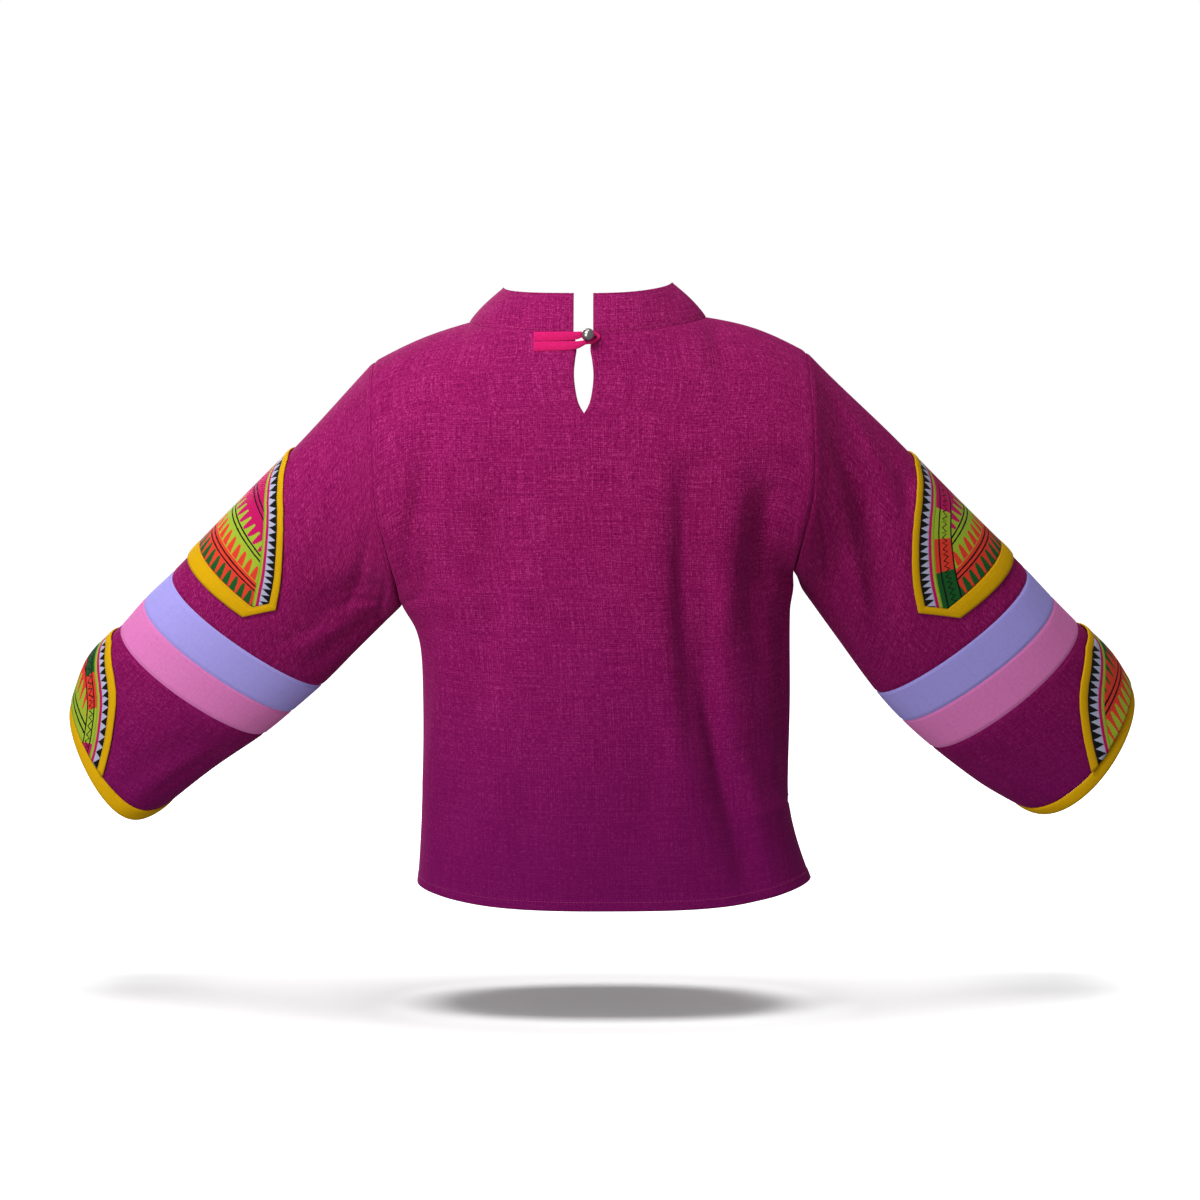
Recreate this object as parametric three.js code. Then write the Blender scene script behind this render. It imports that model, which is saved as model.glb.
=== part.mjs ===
// A woman's cropped hemp top with a stand collar that is open at the back, where a looped fabric
// tube holds a ball button over a keyhole, and with wide sleeves that carry two plain bands,
// embroidered patches and a bound cuff. The top is filled out as if it were worn and is hollow.
//
// Millimetres, +Z up. The front faces -Y and the wearer's left is +X. The origin is the middle of
// the neck at the height of the shoulders, where the wearer's shoulders hold the top up.
import * as THREE from "three";

// Cloth and seams
const CLOTH = 1.2;
const BINDING_CLOTH = 1.6;
const PATCH_CLOTH = 1.2;
const SEAM_GAP = 0.36;
const PATCH_GAP = 0.8;
const MITRE_LIMIT = 1.6;

// Body: widths are measured from the middle of the neck, heights from the shoulders
const BLADE_LEVEL = -138;
const BODY_ROUNDNESS = 2.4;
const SLIT_TOP = 0.27;
const ARMHOLE_REACH = 76;
const ARMPIT = { left: -265, right: -233 };
const HEM_SIDE = { left: -529, right: -525 };
const HEM_MIDDLE = -543;
const NECK_SHARE = 0.56;
const NECK_POINT = { left: { x: 116, z: 1 }, right: { x: -108, z: 6 } };
const SHOULDER_TIP = { left: { x: 206, z: -36 }, right: { x: -203, z: -27 } };
const SHOULDER_CROWN = { left: 3.5, right: 5.5 };
const CENTRE_LINE = [
  { z: -545, x: -14 },
  { z: -356, x: -9 },
  { z: -190, x: 5 },
  { z: -90, x: 6.5 },
  { z: 10, x: 7.7 },
];
const SIDE_LINE = {
  left: [
    { z: -530, x: 162 }, { z: -446, x: 161 }, { z: -356, x: 160.5 }, { z: -309, x: 162 },
    { z: -288, x: 167 }, { z: -265, x: 180 }, { z: -245, x: 184 }, { z: -215, x: 191 },
    { z: -170, x: 200 }, { z: -120, x: 203 }, { z: -36, x: 206 },
  ],
  right: [
    { z: -530, x: -187 }, { z: -446, x: -186 }, { z: -356, x: -188 }, { z: -270, x: -188 },
    { z: -250, x: -191 }, { z: -233, x: -191 }, { z: -200, x: -197 }, { z: -160, x: -205 },
    { z: -110, x: -206 }, { z: -60, x: -204 }, { z: -27, x: -203 },
  ],
};
const FLARE_POWER = 1.5;
const SIDE_DROP = 3;

// The two body panels: how far each stands off the middle, its neckline, the spread of its side
// slits, and its folds as soft troughs (depth above zero) and ridges (depth below zero)
const BACK = {
  facing: 1,
  neckDepth: 85,
  neckDrop: 15,
  levelDip: 0,
  standoff: [
    { z: -545, y: 97 }, { z: -446, y: 97 }, { z: -356, y: 98 }, { z: -250, y: 102 },
    { z: -138, y: 104 }, { z: 0, y: 100 },
  ],
  slitSpread: { left: { x: 3, y: 2 }, right: { x: 20, y: 5 } },
  folds: [
    { from: -94, to: -294, top: 147, middle: 164, end: 152, width: 13, depth: 5 },
    { from: -110, to: -520, top: 86, middle: 86, end: 140, width: 17, depth: 5 },
    { from: -120, to: -530, top: -92, middle: -84, end: -150, width: 21, depth: 10 },
    { from: -120, to: -300, top: -128, middle: -136, end: -128, width: 15, depth: -5 },
    { from: -150, to: -262, top: -163, middle: -155, end: -176, width: 12, depth: 8 },
    { from: -380, to: -450, top: -148, middle: -160, end: -178, width: 9, depth: 4 },
    { from: -440, to: -545, top: -136, middle: -141, end: -152, width: 10, depth: 4 },
    { from: -300, to: -545, top: 20, middle: 8, end: 12, width: 34, depth: -3 },
  ],
};
const FRONT = {
  facing: -1,
  neckDepth: 98,
  neckDrop: 121,
  levelDip: -62,
  standoff: [
    { z: -545, y: 104 }, { z: -446, y: 108 }, { z: -356, y: 113 }, { z: -250, y: 119 },
    { z: -138, y: 108 }, { z: 0, y: 98 },
  ],
  slitSpread: { left: { x: -2, y: 2 }, right: { x: -3, y: 2 } },
  folds: [
    { from: -150, to: -300, top: 152, middle: 158, end: 146, width: 13, depth: 6 },
    { from: -230, to: -535, top: 88, middle: 76, end: 104, width: 19, depth: 8 },
    { from: -245, to: -535, top: -84, middle: -94, end: -122, width: 18, depth: 8 },
    { from: -140, to: -270, top: -162, middle: -160, end: -170, width: 12, depth: 7 },
    { from: -300, to: -545, top: -16, middle: -6, end: -22, width: 32, depth: -4 },
  ],
};

// Keyhole: its width at each depth below the neckline, with the rows of the back gathered round it
const KEYHOLE = [
  { below: 0, width: 17.8 },
  { below: 14, width: 12.4 },
  { below: 25, width: 15.4 },
  { below: 39, width: 17.6 },
  { below: 56, width: 14 },
  { below: 67, width: 8 },
  { below: 73, width: 0 },
];
const KEYHOLE_FADE = 0.3;

// Collar: a stand that leans in over the neckline
const COLLAR_RISE = { back: 38, side: 33, front: 39 };
const COLLAR_LEAN = { back: 22, side: 33, front: 17 };
const COLLAR_BULGE = 1.5;

// Sleeves. A ring runs from a point on the sleeve's outer line to one on its lower line; along is
// measured from the shoulder tip down the 45 degree line of the arm, and across is square to it.
// Reach is the full depth of the ring, plump moves its fullest part towards the outer line, and
// turn is how far the ring's plane tips out of square, in degrees.
const ARM_SLOPE = Math.PI / 4;
const ARM_FORWARD = 0.24;
const ARM_FORWARD_START = 40;
const FIRST_RING = 120;
const SLEEVES = {
  left: {
    rings: [
      { along: 120, across: 2, low: 172, lowAcross: 179, reach: 122, plump: 0.08, turn: 14 },
      { along: 200, across: 0, low: 213, lowAcross: 178.5, reach: 110, plump: 0.1, turn: 15 },
      { along: 281, across: -1, low: 259, lowAcross: 178, reach: 104, plump: 0.1, turn: 17 },
      { along: 320, across: -3, low: 299, lowAcross: 175, reach: 102, plump: 0.09, turn: 18 },
      { along: 357, across: -2, low: 335, lowAcross: 171, reach: 100, plump: 0.06, turn: 19 },
      { along: 404, across: -3, low: 398, lowAcross: 159, reach: 98, plump: -0.04, turn: 25 },
      { along: 448, across: 15, low: 471, lowAcross: 150, reach: 98, plump: -0.17, turn: 33 },
    ],
    folds: [
      { from: 10, fromShare: 0.82, to: 230, toShare: 0.66, width: 17, depth: 5 },
      { from: 60, fromShare: 0.93, to: 270, toShare: 0.84, width: 14, depth: 5 },
      { from: 40, fromShare: 0.4, to: 250, toShare: 0.5, width: 22, depth: -3 },
      { from: 20, fromShare: -0.8, to: 240, toShare: -0.62, width: 18, depth: 5 },
      { from: 80, fromShare: -0.45, to: 270, toShare: -0.55, width: 20, depth: -3 },
      { from: 370, fromShare: 0.75, to: 448, toShare: 0.62, width: 16, depth: 3 },
    ],
  },
  right: {
    rings: [
      { along: 120, across: -4, low: 164, lowAcross: 160, reach: 122, plump: 0.08, turn: 14 },
      { along: 205, across: -6, low: 218, lowAcross: 168, reach: 112, plump: 0.1, turn: 15 },
      { along: 298, across: -9, low: 283, lowAcross: 177, reach: 106, plump: 0.1, turn: 18 },
      { along: 337, across: -9, low: 321, lowAcross: 178.5, reach: 104, plump: 0.09, turn: 19 },
      { along: 374, across: -10, low: 362, lowAcross: 176, reach: 102, plump: 0.05, turn: 21 },
      { along: 420, across: -12, low: 425, lowAcross: 167, reach: 102, plump: -0.02, turn: 28 },
      { along: 457, across: -5, low: 476, lowAcross: 153, reach: 108, plump: -0.06, turn: 35 },
    ],
    folds: [
      { from: 15, fromShare: 0.3, to: 240, toShare: 0.72, width: 17, depth: 6 },
      { from: 20, fromShare: 0.5, to: 250, toShare: 0.86, width: 15, depth: -4 },
      { from: 70, fromShare: 0.18, to: 230, toShare: 0.4, width: 15, depth: 4 },
      { from: 20, fromShare: -0.78, to: 250, toShare: -0.6, width: 18, depth: 5 },
      { from: 90, fromShare: -0.4, to: 270, toShare: -0.52, width: 20, depth: -3 },
      { from: 385, fromShare: 0.8, to: 457, toShare: 0.66, width: 16, depth: 3 },
    ],
  },
};
const CUFF_BINDING = 8;

// Patches, in sleeve sizes: a row lies `at` down the outer line and reaches `half` round the sleeve
// on either side of that line. Foot is the width of the binding along the lower edge, which sags by
// the bow in its middle.
const UPPER_PATCH = {
  foot: 17,
  bow: 7,
  step: 11,
  lift: { left: 0.95, right: 0.95 },
  left: [
    { at: 113, half: 32 }, { at: 148, half: 86 }, { at: 214, half: 128 }, { at: 249, half: 110 },
  ],
  right: [
    { at: 137, half: 34 }, { at: 170, half: 86 }, { at: 236, half: 133 }, { at: 269, half: 110 },
  ],
};
const CUFF_PATCH = {
  foot: 0,
  bow: 0,
  step: 8,
  lift: { left: 0.9, right: 1.95 },
  left: [
    { at: 368, half: 24 }, { at: 388, half: 66 }, { at: 412, half: 88 }, { at: 439, half: 103 },
  ],
  right: [
    { at: 384, half: 34 }, { at: 400, half: 72 }, { at: 422, half: 98 }, { at: 448, half: 119 },
  ],
};
const PATCH_CALM = 26;
const PATCH_EDGE = 7.6;
const PATCH_ROW = 12;

// Button and loop, on the back at the neck
const BUTTON_DIAMETER = 12;
const BUTTON_AT = { x: 3.3, z: -17.3 };
const SHANK_DIAMETER = 2.4;
const SHANK_FOOT = { x: -3, z: -18.8 };
const SHANK_CLEARANCE = 0.9;
const BUTTON_CLEARANCE = 0.4;
const LOOP_THICKNESS = 2;
const LOOP_LIFT = 1.9;
const LOOP_PATH = [
  { run: 0, x: 53, z: -18, width: 8.6 },
  { run: 1, x: 34, z: -18, width: 8.6 },
  { run: 2, x: 16, z: -17.6, width: 7.6 },
  { run: 3, x: 6, z: -15.4, width: 4.4 },
  { run: 4, x: -1, z: -14.4, width: 3.6 },
  { run: 5, x: -6.4, z: -18.8, width: 3.2 },
  { run: 6, x: -1, z: -23.2, width: 3.6 },
  { run: 7, x: 6, z: -23.8, width: 4.2 },
  { run: 8, x: 16, z: -26.6, width: 7.6 },
  { run: 9, x: 34, z: -27.2, width: 8.6 },
  { run: 10, x: 53, z: -27.2, width: 8.6 },
];
const LOOP_STEPS = 40;

// Grids: the number of steps in each stretch of cloth
const STEPS = {
  across: 13, neck: 7, hemToSlit: 3, slitToArmpit: 7, quarter: 6,
  upperSleeve: 5, band: 2, lowerSleeve: 4, collar: 2, buttonRound: 16, buttonArc: 10,
};

// Finishes
const HEMP = new THREE.MeshStandardMaterial({ color: 0x9a1f62, roughness: 0.9, metalness: 0 });
const LILAC = new THREE.MeshStandardMaterial({ color: 0xa39be7, roughness: 0.85, metalness: 0 });
const PINK = new THREE.MeshStandardMaterial({ color: 0xdb85c0, roughness: 0.85, metalness: 0 });
const YELLOW = new THREE.MeshStandardMaterial({ color: 0xebbe14, roughness: 0.8, metalness: 0 });
const STITCHED = new THREE.MeshStandardMaterial({ color: 0xe8452c, roughness: 0.75, metalness: 0 });
const HOT_PINK = new THREE.MeshStandardMaterial({ color: 0xe71f73, roughness: 0.8, metalness: 0 });
const STEEL = new THREE.MeshStandardMaterial({ color: 0x9a9a98, roughness: 0.3, metalness: 1 });

const lerp = THREE.MathUtils.lerp;
const clamp = THREE.MathUtils.clamp;
const smooth = (value, low, high) => THREE.MathUtils.smoothstep(value, low, high);
const QUARTER = Math.PI / 2;

// A smooth curve through a table's rows: the value of one column where another column is `at`
function follow(table, key, at, column) {
  const rows = table.length;
  let i = 0;
  while (i < rows - 2 && at > table[i + 1][key]) {
    i += 1;
  }
  const [before, start, end, after] = [
    table[Math.max(i - 1, 0)], table[i], table[i + 1], table[Math.min(i + 2, rows - 1)],
  ];
  const span = end[key] - start[key];
  const share = clamp((at - start[key]) / span, 0, 1);
  const leave = ((end[column] - before[column]) / (end[key] - before[key])) * span;
  const arrive = ((after[column] - start[column]) / (after[key] - start[key])) * span;
  const square = share * share;
  const cube = square * share;
  return (2 * cube - 3 * square + 1) * start[column] + (cube - 2 * square + share) * leave
    + (3 * square - 2 * cube) * end[column] + (cube - square) * arrive;
}

const steps = (count, from, to) =>
  Array.from({ length: count + 1 }, (_, i) => lerp(from, to, i / count));

// The outward normal of a surface given by a function of two shares
function normalOf(place, a, b, facing) {
  const reach = 0.004;
  const alongA = place(a + reach, b).sub(place(a - reach, b));
  const alongB = place(a, b + reach).sub(place(a, b - reach));
  return alongA.cross(alongB).normalize().multiplyScalar(facing);
}

// One side of a body panel at a height share: 0 hem, 1 armpit, 2 shoulder blades, 3 shoulder tip
function panelEdge(panel, side, height) {
  const tip = SHOULDER_TIP[side].z;
  if (height <= 1) {
    const open = Math.max(0, (SLIT_TOP - height) / SLIT_TOP) ** FLARE_POWER;
    const spread = panel.slitSpread[side];
    const z = lerp(HEM_SIDE[side], ARMPIT[side], height);
    const outward = side === "left" ? 1 : -1;
    return { x: follow(SIDE_LINE[side], "z", z, "x") + outward * spread.x * open, y: spread.y * open, z };
  }
  const low = height <= 2;
  const turn = (low ? height - 1 : height - 2) * QUARTER;
  const z = low
    ? BLADE_LEVEL - (BLADE_LEVEL - ARMPIT[side]) * Math.cos(turn)
    : BLADE_LEVEL + (tip - BLADE_LEVEL) * Math.sin(turn);
  const y = ARMHOLE_REACH * (low ? Math.sin(turn) : Math.cos(turn));
  return { x: follow(SIDE_LINE[side], "z", z, "x"), y, z };
}

// The top edge of a panel: the neckline up to the neck point, then the shoulder seam
function panelTop(panel, across) {
  const side = across >= 0 ? "left" : "right";
  const share = Math.abs(across);
  const neck = NECK_POINT[side];
  const tip = SHOULDER_TIP[side];
  const centre = follow(CENTRE_LINE, "z", 0, "x");
  if (share <= NECK_SHARE) {
    const turn = (share / NECK_SHARE) * QUARTER;
    const drop = panel.neckDrop * Math.cos(turn) ** 1.2;
    return {
      x: lerp(centre, neck.x, Math.sin(turn)),
      y: panel.neckDepth * Math.cos(turn),
      z: neck.z * Math.sin(turn) ** 2 - drop,
    };
  }
  const out = (share - NECK_SHARE) / (1 - NECK_SHARE);
  const crown = SHOULDER_CROWN[side] * Math.sin(out * Math.PI);
  return { x: lerp(neck.x, tip.x, out), y: 0, z: lerp(neck.z, tip.z, out) + crown };
}

// Depth of the folds at a place on a panel
function panelFold(panel, x, z) {
  let depth = 0;
  for (const fold of panel.folds) {
    const share = (fold.from - z) / (fold.from - fold.to);
    if (share > 0 && share < 1) {
      const early = lerp(fold.top, fold.middle, share);
      const late = lerp(fold.middle, fold.end, share);
      const middle = lerp(early, late, share);
      const fade = Math.sin(share * Math.PI) ** 0.7;
      depth += fold.depth * fade * Math.exp(-(((x - middle) / fold.width) ** 2));
    }
  }
  return depth;
}

// How far up the stretch above the shoulder blades a row lies: rows gather round the keyhole
function riseShare(panel, share, height) {
  const plain = Math.sin((height - 2) * QUARTER);
  if (panel !== BACK) {
    return plain;
  }
  const span = -BACK.neckDrop - BLADE_LEVEL;
  const row = clamp(STEPS.quarter * (3 - height), 0, STEPS.quarter);
  const index = Math.min(Math.floor(row), STEPS.quarter - 1);
  const below = (i) => (i < STEPS.quarter ? KEYHOLE_ROWS[i] : span);
  const gathered = 1 - lerp(below(index), below(index + 1), row - index) / span;
  return lerp(gathered, plain, smooth(share, 0.05, NECK_SHARE));
}
const KEYHOLE_ROWS = [0, 14, 26, 41, 58, 73];

// A smooth panel before its folds
function panelForm(panel, across, height) {
  const side = across >= 0 ? "left" : "right";
  const share = Math.abs(across);
  const level = Math.min(height, 2);
  const edge = panelEdge(panel, side, level);
  const middleLow = (ARMPIT.left + ARMPIT.right) / 2;
  const middle = height <= 1
    ? lerp(HEM_MIDDLE, middleLow, level)
    : lerp(middleLow, BLADE_LEVEL + panel.levelDip, level - 1);
  const z = lerp(middle, edge.z, Math.sin(share * QUARTER) ** SIDE_DROP);
  const standoff = follow(panel.standoff, "z", z, "y");
  const centre = follow(CENTRE_LINE, "z", z, "x");
  const power = 2 / BODY_ROUNDNESS;
  const limit = Math.acos((edge.y / standoff) ** (1 / power));
  const turn = share * limit;
  const full = Math.sin(limit) ** power;
  const x = lerp(centre, edge.x, Math.sin(turn) ** power / full);
  const y = standoff * Math.cos(turn) ** power;
  if (height <= 2) {
    return new THREE.Vector3(x, panel.facing * y, z);
  }
  const top = panelTop(panel, across);
  const rise = riseShare(panel, share, height);
  const bend = lerp(0.85, 0.5, smooth(share, 0, NECK_SHARE));
  const round = (1 - rise * rise) ** bend;
  const topEdge = panelEdge(panel, side, height);
  const plainX = lerp(x, top.x, rise);
  const edgeX = topEdge.x - lerp(edge.x, SHOULDER_TIP[side].x, rise);
  return new THREE.Vector3(
    plainX + edgeX * smooth(share, NECK_SHARE, 1),
    panel.facing * lerp(top.y, y, round),
    lerp(z, top.z, rise),
  );
}

// A place on a panel with its folds, which die away before every sewn edge
function panelPlace(panel, across, height) {
  const form = panelForm(panel, across, height);
  const share = Math.abs(across);
  const fromEdge = height < SLIT_TOP ? 1 : smooth(1 - share, 0, 0.14);
  const fromTop = smooth(3 - height, 0, 0.5);
  const depth = panelFold(panel, form.x, form.z) * fromEdge * fromTop;
  if (depth !== 0) {
    const inside = clamp(across, -0.99, 0.99);
    const normal = normalOf((a, b) => panelForm(panel, a, b), inside, clamp(height, 0.01, 2.99), -1);
    if (normal.y * panel.facing < 0) {
      normal.negate();
    }
    form.addScaledVector(normal, -depth);
  }
  return form;
}

// A sheet of cloth from blocks of cells; places that coincide become one point
function makeSheet(name, material, blocks, lift = 0) {
  const sheet = { name, material, lift, points: [], faces: [] };
  const known = new Map();
  const indexOf = (point) => {
    const key = keyOf(point);
    if (!known.has(key)) {
      known.set(key, sheet.points.length);
      sheet.points.push(point);
    }
    return known.get(key);
  };
  for (const { columns, rows, place, flip } of blocks) {
    const grid = columns.map((column) => rows.map((row) => indexOf(place(column, row))));
    for (let i = 0; i < columns.length - 1; i += 1) {
      for (let j = 0; j < rows.length - 1; j += 1) {
        const corners = [grid[i][j], grid[i + 1][j], grid[i + 1][j + 1], grid[i][j + 1]];
        const face = corners.filter((corner, k) => corner !== corners[(k + 1) % 4]);
        if (face.length > 2) {
          sheet.faces.push(flip ? face.reverse() : face);
        }
      }
    }
  }
  return sheet;
}

function keyOf(point) {
  return point.toArray().map((value) => Math.round(value * 200)).join(" ");
}

// Normals and border of a sheet: each border edge as its face has it, from one point to the next
function finishSheet(sheet) {
  sheet.normals = sheet.points.map(() => new THREE.Vector3());
  const once = new Map();
  for (const face of sheet.faces) {
    const corners = face.map((index) => sheet.points[index]);
    const area = new THREE.Vector3();
    for (let k = 1; k < corners.length - 1; k += 1) {
      const first = corners[k].clone().sub(corners[0]);
      area.add(first.cross(corners[k + 1].clone().sub(corners[0])));
    }
    face.forEach((index, k) => {
      const next = face[(k + 1) % face.length];
      sheet.normals[index].add(area);
      if (!once.delete(`${next} ${index}`)) {
        once.set(`${index} ${next}`, [index, next]);
      }
    });
  }
  sheet.normals.forEach((normal) => normal.normalize());
  sheet.border = [...once.values()];
  sheet.across = sheet.normals.map((normal) => normal.clone());
}

// Where sheets are sewn together their walls meet on one mitre line
function sew(sheets) {
  const meetings = new Map();
  for (const sheet of sheets) {
    for (const [index] of sheet.border) {
      const key = keyOf(sheet.points[index]);
      meetings.set(key, [...(meetings.get(key) ?? []), { sheet, index }]);
    }
  }
  for (const ends of meetings.values()) {
    if (ends.length < 2) {
      continue;
    }
    const own = ends.map(({ sheet, index }) => sheet.normals[index].clone());
    const shared = new THREE.Vector3();
    for (const normal of own) {
      const alike = own.filter((other) => other.dot(normal) > 0.9).length;
      shared.addScaledVector(normal, 1 / alike);
    }
    shared.normalize();
    const spread = own.reduce((sum, normal) => sum + normal.dot(shared), 0) / own.length;
    const stretch = Math.min(1 / Math.max(spread, 0.1), MITRE_LIMIT);
    for (const { sheet, index } of ends) {
      sheet.across[index] = shared.clone().multiplyScalar(stretch);
      sheet.normals[index] = shared.clone();
    }
  }
}

// Each piece is cut short by half the gap all round its border
function trimBorder(sheet, gap) {
  const inward = new Map();
  for (const [from, to] of sheet.border) {
    const run = sheet.points[to].clone().sub(sheet.points[from]);
    for (const index of [from, to]) {
      const left = sheet.normals[index].clone().cross(run).normalize();
      inward.set(index, [...(inward.get(index) ?? []), left]);
    }
  }
  for (const [index, [first, second]] of inward) {
    const share = gap / 2 / Math.max(1 + first.dot(second), 0.5);
    sheet.points[index].addScaledVector(first.add(second), share);
  }
}

// A closed wall from a sheet, between two distances from its middle surface
function wallOf(sheet, low, high) {
  const count = sheet.points.length;
  const positions = [];
  for (const distance of [low, high]) {
    sheet.points.forEach((point, index) => {
      positions.push(...point.clone().addScaledVector(sheet.across[index], distance).toArray());
    });
  }
  const indices = [];
  for (const face of sheet.faces) {
    for (let k = 1; k < face.length - 1; k += 1) {
      indices.push(face[0] + count, face[k] + count, face[k + 1] + count);
      indices.push(face[0], face[k + 1], face[k]);
    }
  }
  for (const [from, to] of sheet.border) {
    indices.push(from, to, to + count, from, to + count, from + count);
  }
  const geometry = new THREE.BufferGeometry();
  geometry.setAttribute("position", new THREE.Float32BufferAttribute(positions, 3));
  geometry.setIndex(indices);
  geometry.computeVertexNormals();
  return geometry;
}

// Body panels
const heights = [
  ...steps(STEPS.hemToSlit, 0, SLIT_TOP),
  ...steps(STEPS.slitToArmpit, SLIT_TOP, 1).slice(1),
  ...steps(STEPS.quarter, 1, 2).slice(1),
  ...steps(STEPS.quarter, 2, 3).slice(1),
];
const outwardShares = [
  ...steps(STEPS.neck, 0, NECK_SHARE),
  ...steps(STEPS.across - STEPS.neck, NECK_SHARE, 1).slice(1),
];

function keyholeHalf(z) {
  const below = -BACK.neckDrop - z;
  const deepest = KEYHOLE[KEYHOLE.length - 1].below;
  return below >= deepest - 0.01 ? 0 : follow(KEYHOLE, "below", below, "width") / 2;
}

// The back opens round the keyhole, and its columns draw aside beside it
function backPlace(across, height, side) {
  const place = panelPlace(BACK, across, height);
  const draw = 1 - smooth(Math.abs(across), 0, KEYHOLE_FADE);
  place.x += side * draw * keyholeHalf(place.z);
  return place;
}

const backPanel = makeSheet("back_panel", HEMP, [
  {
    columns: outwardShares, rows: heights, flip: true,
    place: (across, height) => backPlace(across, height, 1),
  },
  {
    columns: outwardShares.map((share) => -share).reverse(), rows: heights, flip: true,
    place: (across, height) => backPlace(across, height, -1),
  },
]);
const frontPanel = makeSheet("front_panel", HEMP, [{
  columns: [...outwardShares.slice(1).map((share) => -share).reverse(), ...outwardShares],
  rows: heights,
  place: (across, height) => panelPlace(FRONT, across, height),
}]);

// Collar: turn runs from the back of the neck (0) over a shoulder (1) to the front (2)
function collarPlace(side, turn, up) {
  const sign = side === "left" ? 1 : -1;
  const panel = turn <= 1 ? BACK : FRONT;
  const across = sign * NECK_SHARE * (turn <= 1 ? turn : 2 - turn);
  const foot = turn <= 1 ? backPlace(across, 3, sign) : panelPlace(FRONT, across, 3);
  const end = panel === BACK ? "back" : "front";
  const toSide = Math.sin((turn <= 1 ? turn : 2 - turn) * QUARTER) ** 2;
  const rise = lerp(COLLAR_RISE[end], COLLAR_RISE.side, toSide);
  const lean = lerp(COLLAR_LEAN[end], COLLAR_LEAN.side, toSide);
  const angle = turn * QUARTER;
  const bulge = COLLAR_BULGE * Math.sin(up * Math.PI);
  foot.x -= sign * Math.sin(angle) * (lean * up - bulge);
  foot.y -= Math.cos(angle) * (lean * up - bulge);
  foot.z += rise * up;
  return foot;
}

const neckTurns = [
  ...steps(STEPS.neck, 0, 1),
  ...steps(STEPS.neck, 1, 2).slice(1),
];
const collar = makeSheet("collar", HEMP, ["left", "right"].map((side) => ({
  columns: neckTurns,
  rows: steps(STEPS.collar, 0, 1),
  flip: side === "left",
  place: (turn, up) => collarPlace(side, turn, up),
})));

// A point of the arm's frame: along the arm, across it, and how far it stands out to the back
function armPoint(side, along, across, out) {
  const tip = SHOULDER_TIP[side];
  const sign = side === "left" ? 1 : -1;
  const forward = ARM_FORWARD * (along - ARM_FORWARD_START);
  return new THREE.Vector3(
    tip.x + sign * (along * Math.cos(ARM_SLOPE) - across * Math.sin(ARM_SLOPE)),
    out - forward,
    tip.z - along * Math.sin(ARM_SLOPE) - across * Math.cos(ARM_SLOPE),
  );
}

// The ring of a sleeve whose outer point lies `start` down the arm
function ringAt(side, start) {
  const { rings } = SLEEVES[side];
  const read = (column) => follow(rings, "along", start, column);
  const ring = {
    along: start, across: read("across"), low: read("low"), lowAcross: read("lowAcross"),
    reach: read("reach"), plump: read("plump"), turn: THREE.MathUtils.degToRad(read("turn")),
  };
  ring.width = Math.hypot(ring.low - ring.along, ring.lowAcross - ring.across);
  return ring;
}

// A place on a ring: the turn runs from its outer point (0) to its lower point (half a circle)
function ringPlace(side, ring, turn) {
  const share = (1 - Math.cos(turn)) / 2 - ring.plump * Math.sin(turn) ** 2;
  const out = (ring.reach / 2) * Math.sin(turn);
  const slant = [(ring.low - ring.along) / ring.width, (ring.lowAcross - ring.across) / ring.width];
  const along = ring.along + slant[0] * ring.width * share + slant[1] * out * Math.sin(ring.turn);
  const across = ring.across + slant[1] * ring.width * share - slant[0] * out * Math.sin(ring.turn);
  const middle = armPoint(side, (ring.along + ring.low) / 2, 0, 0).y;
  const place = armPoint(side, along, across, 0);
  place.y = middle + out * Math.cos(ring.turn);
  return place;
}

// Even steps round half a ring, as turns
const RING_SAMPLES = 48;
const halfRings = new Map();
function halfRing(side, start) {
  const key = `${side} ${start.toFixed(3)}`;
  if (!halfRings.has(key)) {
    const ring = ringAt(side, start);
    const lengths = [0];
    let last = ringPlace(side, ring, 0);
    for (let i = 1; i <= RING_SAMPLES; i += 1) {
      const next = ringPlace(side, ring, (i / RING_SAMPLES) * Math.PI);
      lengths.push(lengths[i - 1] + next.distanceTo(last));
      last = next;
    }
    halfRings.set(key, { ring, lengths, half: lengths[RING_SAMPLES] });
  }
  return halfRings.get(key);
}

// The sleeve before its folds. Round runs from the lower line in front (-1) over the outer line (0)
// to the lower line behind (1).
function sleeveTube(side, start, round) {
  const { ring, lengths, half } = halfRing(side, start);
  const wanted = Math.min(Math.abs(round), 1) * half;
  let i = 1;
  while (i < RING_SAMPLES && lengths[i] < wanted) {
    i += 1;
  }
  const part = (wanted - lengths[i - 1]) / (lengths[i] - lengths[i - 1]);
  return ringPlace(side, ring, Math.sign(round) * ((i - 1 + part) / RING_SAMPLES) * Math.PI);
}

function sleeveForm(side, start, round) {
  if (start >= FIRST_RING) {
    return sleeveTube(side, start, round);
  }
  const share = start / FIRST_RING;
  const edge = panelEdge(round >= 0 ? BACK : FRONT, side, 3 - 2 * Math.abs(round));
  const from = new THREE.Vector3(edge.x, Math.sign(round) * edge.y, edge.z);
  const to = sleeveTube(side, FIRST_RING, round);
  const step = 1;
  const arrive = sleeveTube(side, FIRST_RING + step, round).sub(to).normalize();
  const distance = from.distanceTo(to);
  const leave = armPoint(side, 1, 0, 0).sub(armPoint(side, 0, 0, 0));
  leave.y -= (from.y / ARMHOLE_REACH) * 0.45;
  leave.normalize();
  const square = share * share;
  const cube = square * share;
  return from.multiplyScalar(2 * cube - 3 * square + 1)
    .addScaledVector(leave, (cube - 2 * square + share) * distance)
    .addScaledVector(to, 3 * square - 2 * cube)
    .addScaledVector(arrive, (cube - square) * distance);
}

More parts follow.
